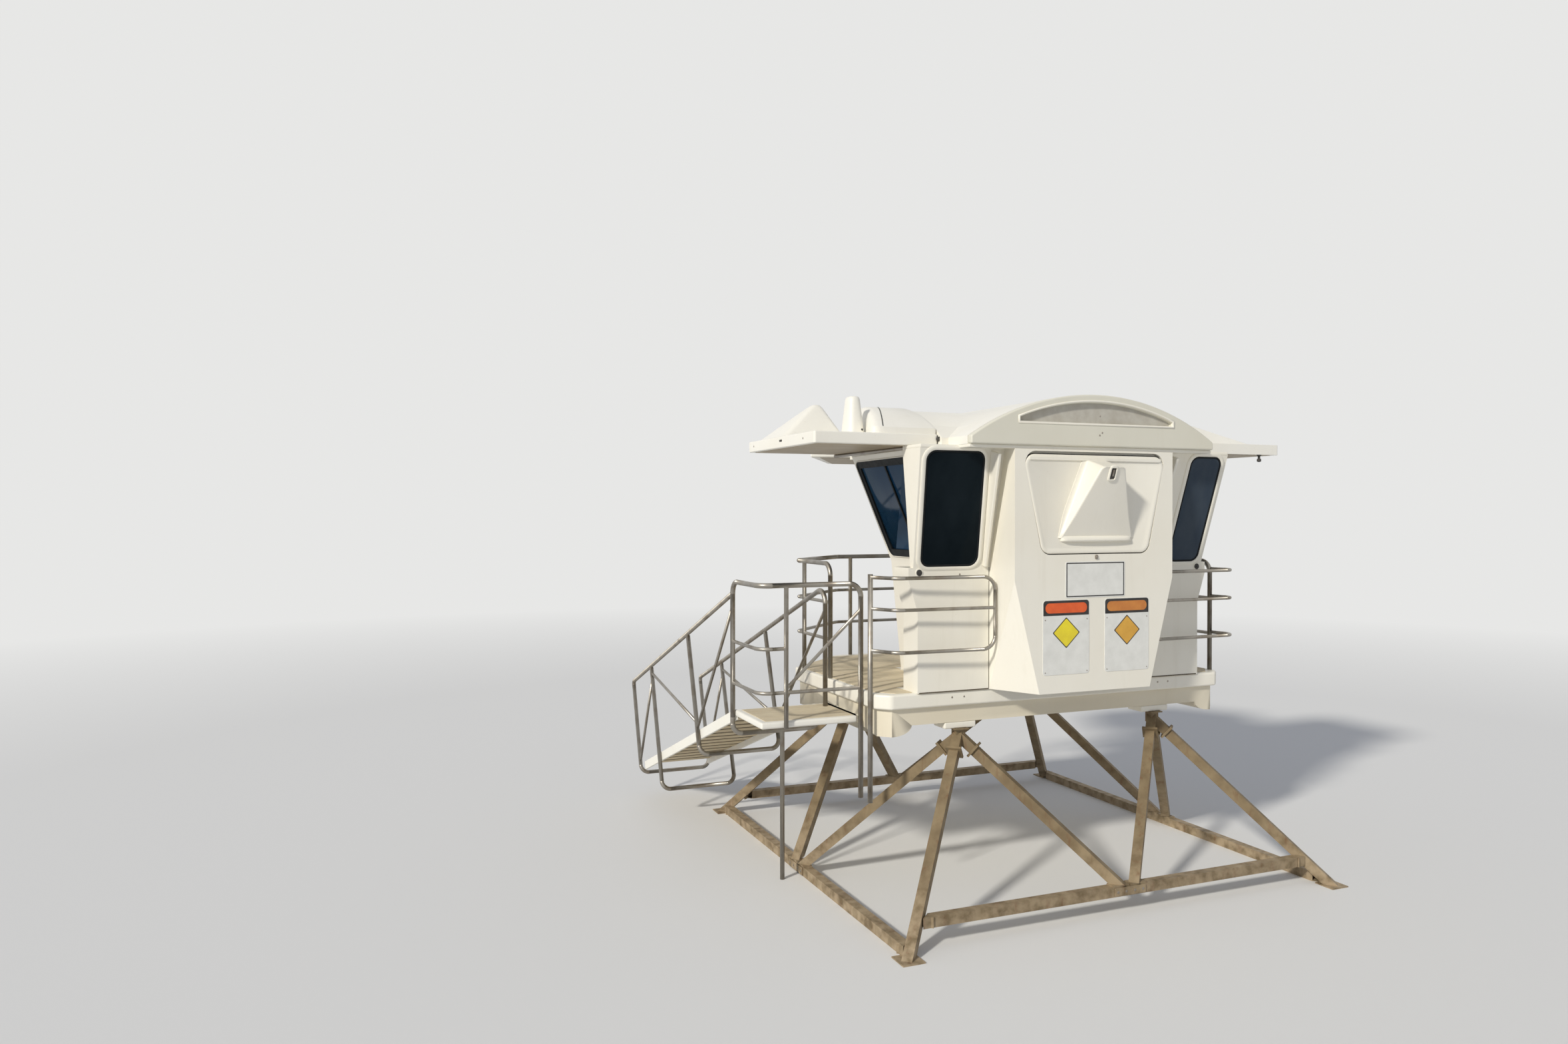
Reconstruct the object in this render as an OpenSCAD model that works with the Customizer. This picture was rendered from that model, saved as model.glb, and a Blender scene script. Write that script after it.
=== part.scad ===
// Lifeguard tower: moulded cabin on a raised deck, splayed tube legs, entry ramp.
// Millimetres, +Z up, +Y towards the sea, the closed shutter faces -Y.

/* [Base frame] */
// Width of the square steel tube
tube_w = 80; // [60:1:100]
// Wall of the square steel tube
tube_wall = 5; // [3:1:8]
// Half distance between the feet of the corner legs
foot_half = 2051; // [1900:1:2300]
// Half distance between the leg heads under the deck
head_half = 1017; // [900:1:1100]
// Height where the axes of legs and braces meet
head_z = 1331; // [1250:1:1360]
// Height of the axis of the front and rear beams
cross_beam_z = 195; // [150:1:300]
// Distance of each mid brace from the middle of its beam
brace_gap = 78; // [60:1:120]
// Reach of the head sockets from the meeting point
socket_reach = 175; // [150:1:230]
// Width of the bolted end plates
flange_w = 130; // [110:1:150]
// Thickness of the end plates and foot plates
flange_t = 10; // [6:1:16]
// Width of the square foot plates
foot_w = 180; // [140:1:240]

/* [Deck] */
// Height of the deck's walking surface above the ground
deck_z = 1715; // [1650:1:1800]
// Thickness of the deck slab at its edge
deck_t = 123; // [100:1:140]
// Half width of the deck
deck_half = 1796; // [1700:1:1900]
// Distance of the rear edge from the centre
deck_rear = 1100; // [1080:1:1300]
// Chamfer of the rear corners
deck_rear_cut = 110; // [60:1:160]
// Where the side edge ends and the diagonal starts
deck_side_end = 670; // [600:1:760]
// Distance of the front edge from the centre
deck_front = 1320; // [1200:1:1400]
// Half width of the front edge
deck_front_half = 1074; // [1000:1:1200]
// Height of the moulded hull under the slab
hull_h = 143; // [120:1:180]
// Set back of the hull from the slab edge
hull_inset = 45; // [20:1:80]
// Laminate thickness of the hull
hull_wall = 14; // [8:1:20]
// Depth of the side runners below the hull
runner_h = 84; // [50:1:110]
// Half distance between the runners where their round inner edges start
runner_half = 1478; // [1350:1:1550]
// Drop of the leg pads below the hull
pad_h = 56; // [40:1:90]
// Half width of a leg pad
pad_half = 150; // [120:1:200]

/* [Cabin] */
// Thickness of the cabin walls
wall_t = 50; // [30:1:80]
// Height of the window sills
sill_z = 2741; // [2600:1:2850]
// Height of the top of the ceiling plate, where roof and awnings sit
eave_z = 3733; // [3650:1:3850]
// Distance of the rear wall from the centre
rear_y = 1110; // [1090:1:1200]
// Distance of the rear bay's face from the centre
bay_y = 1516; // [1400:1:1600]
// Half width of the bay's face at the deck
bay_foot_half = 559; // [500:1:620]
// Half width of the bay's face from the sill up
bay_half = 798; // [760:1:840]
// Height of the knee where the bay's sides turn upright
bay_knee_z = 2640; // [2550:1:2700]
// Half width of the bay where it meets the rear wall
bay_root_half = 775; // [700:1:790]
// How far the wings stand in from the window frames, at the deck
wing_in = 41; // [20:1:70]
// How far the wings widen from their knee to the sill
wing_flare = 85; // [40:1:100]
// Height where the wings start to widen
wing_knee_z = 2380; // [2300:1:2450]
// Depth of the wings from rear to front
wing_depth = 240; // [180:1:280]
// Half width of the rear windows' frames at the sill
pane_half = 1496; // [1470:1:1520]
// Outward lean of the rear windows at the eave
rear_lean = 247; // [180:1:270]
// Sideways flare of the rear windows at the eave
rear_flare = 73; // [40:1:100]
// How far the side walls stand in from the window frames, at the sill
side_in = 451; // [400:1:500]
// Outward lean of the side walls below the sill
side_foot_lean = 104; // [60:1:140]
// Extra half width of the side walls at their rear end
side_splay = 66; // [40:1:90]
// Outward lean of the side windows at the eave
side_lean = 412; // [360:1:440]
// Where the side walls end and the front diagonals start
side_front_y = 131; // [80:1:180]
// Distance of the front wall from the centre
front_y = 568; // [500:1:640]
// Half width of the front wall
front_half = 559; // [520:1:620]
// Outward lean of the front windows at the eave
front_lean = 125; // [100:1:140]
// Width of the doorway
door_w = 760; // [700:1:860]
// Height of the doorway above the deck
door_h = 1950; // [1900:1:2000]
// Width of the frame round each window
sash_w = 62; // [45:1:80]
// Width of the rear windows' frame on the bay's side
stile_w = 125; // [90:1:140]
// Glass thickness
glass_t = 8; // [5:1:12]

/* [Rear shutter] */
// Half width of the shutter at its top
shutter_top_half = 712; // [680:1:740]
// Half width of the shutter at its bottom
shutter_foot_half = 532; // [480:1:600]
// Height of the shutter's lower edge
shutter_foot_z = 2855; // [2820:1:2900]
// Height of the shutter's upper edge
shutter_top_z = 3682; // [3640:1:3700]
// Thickness of the shutter's panel
shutter_t = 45; // [30:1:60]
// Gap all round the shutter
shutter_gap = 8; // [5:1:12]
// Radius of the shutter's corners
shutter_r = 90; // [60:1:120]
// How far the shutter's relief stands out
relief_out = 228; // [150:1:260]

/* [Roof] */
// Distance of the rear fascia from the centre
roof_rear = 1545; // [1530:1:1620]
// Distance of the front fascia from the centre
roof_front = 722; // [690:1:800]
// Half width of the roof at its fascias
roof_half = 1220; // [1150:1:1240]
// Half width of the cross vault, where the side awnings hinge
vault_half = 1285; // [1250:1:1300]
// Height of the ceiling plate
ceiling_t = 27; // [18:1:40]
// Straight edge height of the fascia
fascia_edge = 66; // [50:1:90]
// Height of the roof's crown
crown_z = 4163; // [4120:1:4220]
// Height of the cross vault's crown
vault_z = 4080; // [4020:1:4110]
// Laminate thickness of the roof
roof_wall = 20; // [12:1:30]
// Thickness of the fascias
fascia_t = 60; // [50:1:80]

/* [Awnings] */
// Width of a side awning across its hinge
awning_w = 1100; // [1000:1:1200]
// Rear end of the side awnings
awning_rear = 1150; // [1120:1:1200]
// Front end of the side awnings
awning_front = 327; // [280:1:380]
// Thickness of an awning's edge
awning_t = 95; // [70:1:110]
// Height of the crown of the awning reliefs
awning_peak_z = 4147; // [4050:1:4200]
// Outer edge of the front awning
brow_front = 2018; // [1900:1:2100]
// Half width of the front awning's outer edge
brow_half = 848; // [780:1:900]

/* [Landing and ramp] */
// Distance of the ramp from the deck's side
ramp_off = 134; // [110:1:180]
// Rear edge of the landing
landing_rear = 779; // [740:1:820]
// Front edge of the landing, where the ramp starts
landing_front = 127; // [100:1:160]
// Height of the landing's surface
landing_z = 1506; // [1450:1:1560]
// Thickness of the landing
landing_t = 55; // [45:1:70]
// Clear gap between the landing and the deck
landing_gap = 38; // [20:1:60]
// Width of the ramp
ramp_w = 760; // [700:1:800]
// Horizontal length of the ramp
ramp_l = 3044; // [2900:1:3150]
// Fall of the ramp
ramp_drop = 1104; // [1000:1:1150]
// Depth of the ramp's side rails
stringer_h = 90; // [70:1:120]
// Thickness of the ramp's side rails
stringer_t = 28; // [20:1:40]
// Number of treads
treads = 14; // [10:1:18]
// Width of a tread
tread_w = 150; // [120:1:160]
// Thickness of a tread
tread_t = 32; // [24:1:40]

/* [Rails] */
// Diameter of the posts and top rails
post_d = 42; // [36:1:48]
// Diameter of the lower rails
rail_d = 30; // [25:1:35]
// Bend radius of the rails
bend_r = 110; // [80:1:140]

/* [Hidden] */

post_r = post_d / 2;
rail_r = rail_d / 2;
// An elbow is a little thicker than its tube, which enters it by a short lap
sleeve = 0.6;
lap = 6;
wide = 9000;
eps = 0.01;

// Lines of the ramp, with the height and the end of its handrails along its slope
slope = atan(ramp_drop / ramp_l);
ramp_len = norm([ramp_l, ramp_drop]);
ramp_in = deck_half + ramp_off;
ramp_out = ramp_in + ramp_w;
left_line = -ramp_out - post_r;
right_line = -ramp_in + post_r;
rail_up = 930;
rail_end = 3340;
// Point on the ramp: across, along the slope, square to it
function on_ramp(x, s, n) =
    [x, -landing_front + s * cos(slope) + n * sin(slope), landing_z - s * sin(slope) + n * cos(slope)];

// Whole box in plan, which fixes where the origin lies
hinge_gap = 7;
awning_hinge = vault_half + hinge_gap;
box_left = left_line - post_r - sleeve;
box_right = awning_hinge + awning_w;
box_rear = -foot_half - foot_w / 2;
end_bend = 45;
box_front = on_ramp(right_line, rail_end, rail_up)[1]
    + end_bend * (1 - cos(slope) - sin(slope)) + post_r + sleeve;
origin_x = (box_left + box_right) / 2;
origin_y = (box_rear + box_front) / 2;

function unit(v) = v / norm(v);
function mix(a, b, t) = a + (b - a) * t;
function clamp1(x) = max(-1, min(1, x));

// A frame whose third axis runs along d
function side_axis(d) = unit(cross(abs(d[2]) > 0.95 ? [1, 0, 0] : [0, 0, 1], d));
module along(a, d) {
    w = unit(d);
    u = side_axis(w);
    v = cross(w, u);
    multmatrix([
        [u[0], v[0], w[0], a[0]],
        [u[1], v[1], w[1], a[1]],
        [u[2], v[2], w[2], a[2]],
        [0, 0, 0, 1]
    ]) children();
}

// Round bar from a to b
module rod(a, b, r) {
    along(a, b - a) cylinder(h = norm(b - a), r = r, $fn = 24);
}

// Elbow at p between the directions d1 and d2
module elbow(p, d1, d2, r, bend) {
    angle = acos(clamp1(d1 * d2));
    inward = unit(d2 - d1 * (d1 * d2));
    start = p - d1 * bend * tan(angle / 2);
    centre = start + inward * bend;
    x = -inward;
    z = cross(x, d1);
    multmatrix([
        [x[0], d1[0], z[0], centre[0]],
        [x[1], d1[1], z[1], centre[1]],
        [x[2], d1[2], z[2], centre[2]],
        [0, 0, 0, 1]
    ]) rotate_extrude(angle = angle, $fn = 48) translate([bend, 0]) circle(r = r + sleeve, $fn = 24);
}

function turn(pts, i) =
    i == 0 || i == len(pts) - 1 ? 0
    : acos(clamp1(unit(pts[i] - pts[i - 1]) * unit(pts[i + 1] - pts[i])));

// Bent tube along the points, with an elbow at each inner one
module bent_tube(pts, r, bend) {
    for (i = [0 : len(pts) - 2]) {
        d = unit(pts[i + 1] - pts[i]);
        a = pts[i] + d * bend * tan(turn(pts, i) / 2);
        b = pts[i + 1] - d * bend * tan(turn(pts, i + 1) / 2);
        rod(i > 0 ? a - d * lap : a, i < len(pts) - 2 ? b + d * lap : b, r);
    }
    for (i = [1 : 1 : len(pts) - 2])
        elbow(pts[i], unit(pts[i] - pts[i - 1]), unit(pts[i + 1] - pts[i]), r, bend);
}

// Solid between outlines of equal length, each a list of [x, y, z] points
module loft(sections) {
    n = len(sections[0]);
    m = len(sections);
    polyhedron(
        points = [for (s = sections) each s],
        faces = concat(
            [[for (i = [0 : n - 1]) i]],
            [[for (i = [n - 1 : -1 : 0]) (m - 1) * n + i]],
            [for (k = [0 : m - 2], i = [0 : n - 1])
                [k * n + i, (k + 1) * n + i, (k + 1) * n + (i + 1) % n]],
            [for (k = [0 : m - 2], i = [0 : n - 1])
                [k * n + i, (k + 1) * n + (i + 1) % n, k * n + (i + 1) % n]]
        )
    );
}
function at_z(pts, z) = [for (p = pts) [p[0], p[1], z]];

// Outline with round corners, steps facets to a corner
function corner_points(a, p, b, r, steps) =
    let (
        d1 = unit(a - p),
        d2 = unit(b - p),
        half = acos(clamp1(d1 * d2)) / 2,
        centre = p + unit(d1 + d2) * (r / sin(half)),
        start = p + d1 * (r / tan(half)),
        v = start - centre,
        way = cross([d1[0], d1[1], 0], [d2[0], d2[1], 0])[2] > 0 ? -1 : 1,
        sweep = 180 - 2 * half
    )
    [for (k = [0 : steps])
        let (t = way * sweep * k / steps)
        centre + [v[0] * cos(t) - v[1] * sin(t), v[0] * sin(t) + v[1] * cos(t)]];
function round_outline(pts, r, steps = 6) =
    let (n = len(pts))
    [for (i = [0 : n - 1])
        each corner_points(pts[(i + n - 1) % n], pts[i], pts[(i + 1) % n], r, steps)];

// Mirror image on the other side of the tower
module both_sides() {
    children();
    mirror([1, 0, 0]) children();
}

// Everything is drawn about the tower's centre, then set on the origin
module place() {
    translate([-origin_x, -origin_y, 0]) children();
}

// Base frame
leg_len = norm([foot_half - head_half, foot_half - head_half, head_z]);
function leg_at(z) = mix(foot_half, head_half, z / head_z);
head_point = [head_half, head_half, head_z];
leg_dir = unit([1, 1, -head_z / (foot_half - head_half)]);
beam_line = leg_at(cross_beam_z);
side_line = leg_at(tube_w / 2);
brace_foot_cross = [brace_gap, beam_line, cross_beam_z + tube_w / 2];
brace_foot_side = [side_line, brace_gap, tube_w];
brace_dir_cross = unit(brace_foot_cross - head_point);
brace_dir_side = unit(brace_foot_side - head_point);
mitre = (tube_w / 2 + flange_t) * sqrt(2);
brace_plate_gap = 12;

module square_tube(a, b) {
    along(a, b - a)
        linear_extrude(norm(b - a))
            difference() {
                square(tube_w, center = true);
                square(tube_w - 2 * tube_wall, center = true);
            }
}

module end_plate(p, d) {
    along(p, d) translate([-flange_w / 2, -flange_w / 2, 0]) cube([flange_w, flange_w, flange_t]);
}

module corner_leg() {
    plate = head_point + leg_dir * socket_reach;
    end_plate(plate, leg_dir);
    difference() {
        square_tube(plate + leg_dir * (flange_t - eps), head_point + leg_dir * (leg_len + 2 * tube_w));
        translate([0, 0, flange_t - wide / 2 - eps]) cube(wide, center = true);
    }
    translate([foot_half - foot_w / 2, foot_half - foot_w / 2, 0]) cube([foot_w, foot_w, flange_t]);
}

// Straight beam along +X whose mitred ends stop at the legs' side faces
module beam(line, z) {
    translate([0, 0, z - tube_w / 2]) difference() {
        linear_extrude(tube_w) beam_outline(line, 0);
        translate([0, 0, tube_wall]) linear_extrude(tube_w - 2 * tube_wall)
            beam_outline(line, tube_wall);
    }
    for (s = [-1, 1])
        translate([s * (line - mitre), line, z]) rotate(s * 45)
            translate([s > 0 ? 0 : -flange_t, -flange_w / 2, -tube_w / 2]) cube([flange_t, flange_w, tube_w]);
}
module beam_outline(line, wall) {
    near = line - tube_w / 2 + wall;
    far = line + tube_w / 2 - wall;
    polygon([[-near + mitre, near], [near - mitre, near], [far - mitre, far], [-far + mitre, far]]);
}

// Pair of braces from two heads down to the middle of a beam
module brace_pair(foot, dir, seat_z) {
    plate = head_point + dir * socket_reach;
    for (s = [0, 1]) mirror([s, 0, 0]) {
        end_plate(plate, dir);
        difference() {
            square_tube(plate + dir * (flange_t - eps), foot + dir * 2.5 * tube_w);
            translate([0, 0, seat_z + flange_t - wide / 2 - eps]) cube(wide, center = true);
        }
        translate([brace_plate_gap / 2, foot[1] - tube_w / 2, seat_z])
            cube([brace_gap + tube_w, tube_w, flange_t]);
    }
}

module leg_head() {
    for (d = [leg_dir, brace_dir_cross, brace_dir_side]) {
        along(head_point, d) translate([-tube_w / 2, -tube_w / 2, 0])
            cube([tube_w, tube_w, socket_reach - flange_t + eps]);
        end_plate(head_point + d * (socket_reach - flange_t), d);
    }
    translate(head_point - [tube_w / 2, tube_w / 2, tube_w / 2])
        cube([tube_w, tube_w, pad_z - head_z + tube_w / 2]);
    translate([head_half - flange_w / 2, head_half - flange_w / 2, pad_z - flange_t])
        cube([flange_w, flange_w, flange_t]);
}

module rear_beam() { color("dimgray") place() mirror([0, 1, 0]) beam(beam_line, cross_beam_z); }
module front_beam() { color("dimgray") place() beam(beam_line, cross_beam_z); }
module left_beam() { color("dimgray") place() rotate(90) beam(side_line, tube_w / 2); }
module right_beam() { color("dimgray") place() rotate(-90) beam(side_line, tube_w / 2); }
module rear_left_leg() { color("dimgray") place() rotate(180) corner_leg(); }
module rear_right_leg() { color("dimgray") place() rotate(-90) corner_leg(); }
module front_left_leg() { color("dimgray") place() rotate(90) corner_leg(); }
module front_right_leg() { color("dimgray") place() corner_leg(); }
module leg_heads() {
    color("dimgray") place() both_sides() {
        leg_head();
        mirror([0, 1, 0]) leg_head();
    }
}
module cross_braces() { brace_pair(brace_foot_cross, brace_dir_cross, cross_beam_z + tube_w / 2); }
module side_braces() {
    rotate(-90) brace_pair(
        [brace_foot_side[1], brace_foot_side[0], brace_foot_side[2]],
        [brace_dir_side[1], brace_dir_side[0], brace_dir_side[2]], tube_w);
}
module rear_braces() { color("dimgray") place() mirror([0, 1, 0]) cross_braces(); }
module front_braces() { color("dimgray") place() cross_braces(); }
module left_braces() { color("dimgray") place() rotate(180) side_braces(); }
module right_braces() { color("dimgray") place() side_braces(); }

// Deck and hull
slab_z = deck_z - deck_t;
hull_z = slab_z - hull_h;
pad_z = hull_z - pad_h;

deck_r = 60;
function deck_outline(inset) =
    let (
        w = deck_half - inset,
        k = inset * tan(22.5),
        f = deck_front - inset
    )
    [
        [-w + deck_rear_cut - k, -deck_rear + inset], [w - deck_rear_cut + k, -deck_rear + inset],
        [w, -deck_rear + deck_rear_cut + inset - k], [w, deck_side_end - k],
        [deck_front_half - k, f], [-deck_front_half + k, f],
        [-w, deck_side_end - k], [-w, -deck_rear + deck_rear_cut + inset - k]
    ];

module deck() {
    color("ivory") place()
        translate([0, 0, slab_z]) linear_extrude(deck_t)
            polygon(round_outline(deck_outline(0), deck_r));
}

// Section of a side runner, on the right, with its skin t further in
runner_flat = 172;
runner_steps = 8;
function runner_section(t) = concat(
    [[deck_half, hull_z + t]],
    [for (k = [0 : runner_steps])
        let (a = 90 * k / runner_steps)
        [runner_half + runner_flat - (runner_flat - t) * cos(a), hull_z - (runner_h - t) * sin(a)]],
    [[deck_half, hull_z - runner_h + t]]
);
module runner(t, top) {
    translate([0, wide / 2, 0]) rotate([90, 0, 0]) linear_extrude(wide) union() {
        polygon(runner_section(t));
        translate([runner_half + t, hull_z - eps]) square([deck_half - runner_half, top]);
    }
}
module hull() {
    color("ivory") place() difference() {
        intersection() {
            translate([0, 0, hull_z - runner_h]) linear_extrude(hull_h + runner_h)
                polygon(deck_outline(hull_inset));
            union() {
                translate([-wide / 2, -wide / 2, hull_z]) cube([wide, wide, hull_h]);
                both_sides() runner(0, hull_wall);
            }
        }
        translate([0, 0, hull_z + hull_wall]) linear_extrude(hull_h)
            polygon(deck_outline(hull_inset + hull_wall));
        intersection() {
            translate([0, 0, hull_z - runner_h]) linear_extrude(runner_h + 2 * hull_wall)
                polygon(deck_outline(hull_inset + hull_wall));
            both_sides() runner(hull_wall, 2 * hull_wall);
        }
    }
}

pad_out = min(pad_half, deck_rear - hull_inset - head_half);
module leg_pads() {
    color("ivory") place() both_sides() for (s = [0, 1]) mirror([0, s, 0])
        translate([head_half - pad_half, head_half - pad_half, pad_z])
            cube([2 * pad_half, pad_half + pad_out, pad_h]);
}

// Cabin walls: horizontal outlines at the deck, the sill and the wall top
wall_top = eave_z - ceiling_t;
wing_half = pane_half - wing_in;
side_half = pane_half - side_in;
side_foot_half = side_half - side_foot_lean;
front_foot_half = front_half - side_foot_lean;
front_foot_y = front_y;

// Leaning line of the bay's side at distance y from the centre
function bay_side(y) = bay_root_half + (bay_half - bay_root_half) * (y - rear_y) / (bay_y - rear_y);

// Corner between front diagonal and front wall at the wall top
diag_run = [front_half - side_half, front_y - side_front_y];
diag_reach = (front_y + front_lean - side_front_y) / diag_run[1];
front_top_half = side_half + side_lean + diag_run[0] * diag_reach;
front_top_y = front_y + front_lean;

// Lap between panels of one moulding, and how far cuts run past a face
seam = 1;
past = 20;
glass_set = 14;
rear_window_r = 70;
side_window_r = 60;
diag_sash = 1.3 * sash_w;

function quad(a, b, t) = [a, b, b + t, a + t];
module wall(foot, sill, top) {
    loft([at_z(foot, deck_z), at_z(sill, sill_z), at_z(top, wall_top)]);
}

// Window outline on a leaning face, from the sill corner a towards b, leaning to c above a
module window_cut(a, b, c, outline, depth) {
    x = unit(b - a);
    n = unit(cross(x, c - a));
    y = cross(n, x);
    multmatrix([
        [x[0], y[0], n[0], a[0]],
        [x[1], y[1], n[1], a[1]],
        [x[2], y[2], n[2], a[2]],
        [0, 0, 0, 1]
    ]) translate([0, 0, -depth]) linear_extrude(2 * depth) polygon(outline);
}
module pane(a, b, c, outline) {
    x = unit(b - a);
    n = unit(cross(x, c - a));
    y = cross(n, x);
    multmatrix([
        [x[0], y[0], n[0], a[0]],
        [x[1], y[1], n[1], a[1]],
        [x[2], y[2], n[2], a[2]],
        [0, 0, 0, 1]
    ]) translate([0, 0, -glass_set - glass_t]) linear_extrude(glass_t) polygon(outline);
}

// Rear wall with its hollow wing and leaning window, on the right
rear_sill_a = [bay_root_half, -rear_y, sill_z];
rear_sill_b = [pane_half, -rear_y, sill_z];
rear_top_a = [bay_root_half, -rear_y - rear_lean, wall_top];
rear_slope = norm([rear_lean, wall_top - sill_z]);
rear_w = pane_half - bay_root_half;
rear_window = round_outline([
    [stile_w, sash_w], [rear_w - sash_w, sash_w],
    [rear_w - sash_w + rear_flare, rear_slope - sash_w / 2], [stile_w + rear_flare, rear_slope - sash_w / 2]
], rear_window_r);
wing_levels = [deck_z, wing_knee_z, bay_knee_z, sill_z];
wing_front = -rear_y + wing_depth;
function wing_x(z) = wing_half + wing_flare * max(0, min(1, (z - wing_knee_z) / (bay_knee_z - wing_knee_z)));
// Outer face of the side wall
function side_x(y, z) =
    mix(side_foot_half, side_half, (z - deck_z) / (sill_z - deck_z))
    + side_splay * (side_front_y - y) / (side_front_y + rear_y - wall_t);
// Panel of the wing between depths y1 and y2, from x1 to x2 at each level
module wing_panel(y1, y2, from_side) {
    loft([for (z = wing_levels)
        let (
            a = from_side ? side_x(y1, z) + seam : wing_x(z) - wall_t,
            b = from_side ? side_x(y2, z) + seam : wing_x(z) - wall_t
        )
        at_z([[a, y1], [wing_x(z), y1], [wing_x(z), y2], [b, y2]], z)]);
}
module rear_wall() {
    inner = rear_y - wall_t;
    difference() {
        union() {
            loft([for (z = wing_levels)
                at_z(quad([bay_root_half, -rear_y], [wing_x(z), -rear_y], [0, wall_t]), z)]);
            wing_panel(-rear_y, wing_front, false);
            wing_panel(wing_front - wall_t, wing_front, true);
            translate([0, 0, sill_z - wall_t]) linear_extrude(wall_t) polygon([
                [side_x(-inner, sill_z) + seam, -rear_y + wall_t / 2], [wing_x(sill_z), -rear_y + wall_t / 2],
                [wing_x(sill_z), wing_front], [side_x(wing_front, sill_z) + seam, wing_front]
            ]);
            loft([
                at_z(quad([bay_root_half, -rear_y], [pane_half, -rear_y], [0, wall_t]), sill_z),
                at_z(quad([bay_side(rear_y + rear_lean), -rear_y - rear_lean],
                    [pane_half + rear_flare, -rear_y - rear_lean], [0, wall_t]), wall_top)
            ]);
            loft([
                at_z([[pane_half - wall_t, -rear_y], [pane_half, -rear_y],
                    [pane_half, -inner], [pane_half - wall_t, -inner]], sill_z),
                at_z([[pane_half + rear_flare - wall_t, -rear_y - rear_lean],
                    [pane_half + rear_flare, -rear_y - rear_lean],
                    [pane_half + rear_flare, -inner], [pane_half + rear_flare - wall_t, -inner]], wall_top)
            ]);
            loft([
                at_z(quad([side_half + side_splay, -rear_y], [pane_half, -rear_y], [0, wall_t]), sill_z),
                at_z(quad([side_half + side_splay + side_lean, -rear_y],
                    [pane_half + rear_flare, -rear_y], [0, wall_t]), wall_top)
            ]);
        }
        window_cut(rear_sill_a, rear_sill_b, rear_top_a, rear_window, wall_t + past);
    }
}
module rear_pane() { pane(rear_sill_a, rear_sill_b, rear_top_a, rear_window); }

// Side wall with its leaning window, on the right
side_sill_a = [side_half + side_splay, -rear_y + wall_t, sill_z];
side_sill_b = [side_half, side_front_y, sill_z];
side_top_a = side_sill_a + [side_lean, 0, wall_top - sill_z];
side_length = norm(side_sill_b - side_sill_a);
side_slope = norm([side_lean, wall_top - sill_z]);
side_window = round_outline([
    [sash_w, sash_w], [side_length - sash_w, sash_w],
    [side_length - sash_w, side_slope - sash_w], [sash_w, side_slope - sash_w]
], side_window_r);

module side_wall() {
    shift = side_foot_lean;
    a = [side_sill_a[0], side_sill_a[1]];
    b = [side_sill_b[0], side_sill_b[1]];
    difference() {
        wall(
            quad(a - [shift, 0], b - [shift, 0], [-wall_t, 0]),
            quad(a, b, [-wall_t, 0]),
            quad(a + [side_lean, 0], b + [side_lean, 0], [-wall_t, 0])
        );
        window_cut(side_sill_a, side_sill_b, side_top_a, side_window, wall_t + past);
    }
}
module side_pane() { pane(side_sill_a, side_sill_b, side_top_a, side_window); }

// Diagonal front wall with its leaning window, on the right
diag_sill_a = [side_half, side_front_y, sill_z];
diag_sill_b = [front_half, front_y, sill_z];
diag_top_a = [side_half + side_lean, side_front_y, wall_top];
diag_length = norm(diag_sill_b - diag_sill_a);
diag_x = unit(diag_sill_b - diag_sill_a);
diag_n = unit(cross(diag_x, diag_top_a - diag_sill_a));
diag_y = cross(diag_n, diag_x);
diag_top_b = [front_top_half, front_top_y, wall_top];
function on_diag(p) = [(p - diag_sill_a) * diag_x, (p - diag_sill_a) * diag_y];
diag_window = round_outline([
    [sash_w, sash_w], [diag_length - sash_w, sash_w],
    on_diag(diag_top_b) + [-diag_sash, -sash_w], on_diag(diag_top_a) + [diag_sash, -sash_w]
], side_window_r);

module diagonal_wall() {
    difference() {
        wall(
            [[side_foot_half, side_front_y], [front_foot_half, front_foot_y],
                [front_foot_half, front_foot_y - wall_t], [side_foot_half - wall_t, side_front_y]],
            [[side_half, side_front_y], [front_half, front_y],
                [front_half, front_y - wall_t], [side_half - wall_t, side_front_y]],
            [[side_half + side_lean, side_front_y], [front_top_half, front_top_y],
                [front_top_half, front_top_y - wall_t], [side_half + side_lean - wall_t, side_front_y]]
        );
        window_cut(diag_sill_a, diag_sill_b, diag_top_a, diag_window, wall_t + past);
    }
}
module diagonal_pane() { pane(diag_sill_a, diag_sill_b, diag_top_a, diag_window); }

// Front wall with its doorway
module front() {
    difference() {
        wall(
            quad([front_foot_half, front_foot_y], [-front_foot_half, front_foot_y], [0, -wall_t]),
            quad([front_half, front_y], [-front_half, front_y], [0, -wall_t]),
            quad([front_top_half, front_top_y], [-front_top_half, front_top_y], [0, -wall_t])
        );
        translate([-door_w / 2, front_y - 3 * wall_t, deck_z - seam]) cube([door_w, 9 * wall_t, door_h + seam]);
    }
}

// Rear bay: inverted wedge below the sill, straight above
rebate_t = 35;
rebate_lip = 30;
bay_wall = shutter_t + rebate_t;
function bay_outline(half, inset) =
    let (
        y = bay_y - (inset > 0 ? bay_wall : 0),
        root = bay_root_half - inset,
        back = -rear_y + wall_t + (inset > 0 ? seam : 0)
    )
    [[-half + inset, -y], [half - inset, -y], [root, -rear_y], [root, back], [-root, back], [-root, -rear_y]];

function shutter_outline(grow) =
    let (
        run = (shutter_top_half - shutter_foot_half) / (shutter_top_z - shutter_foot_z)
    )
    round_outline([
        [-shutter_foot_half - grow + run * grow, shutter_foot_z - grow],
        [shutter_foot_half + grow - run * grow, shutter_foot_z - grow],
        [shutter_top_half + grow + run * grow, shutter_top_z + grow],
        [-shutter_top_half - grow - run * grow, shutter_top_z + grow]
    ], shutter_r + grow);

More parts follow.
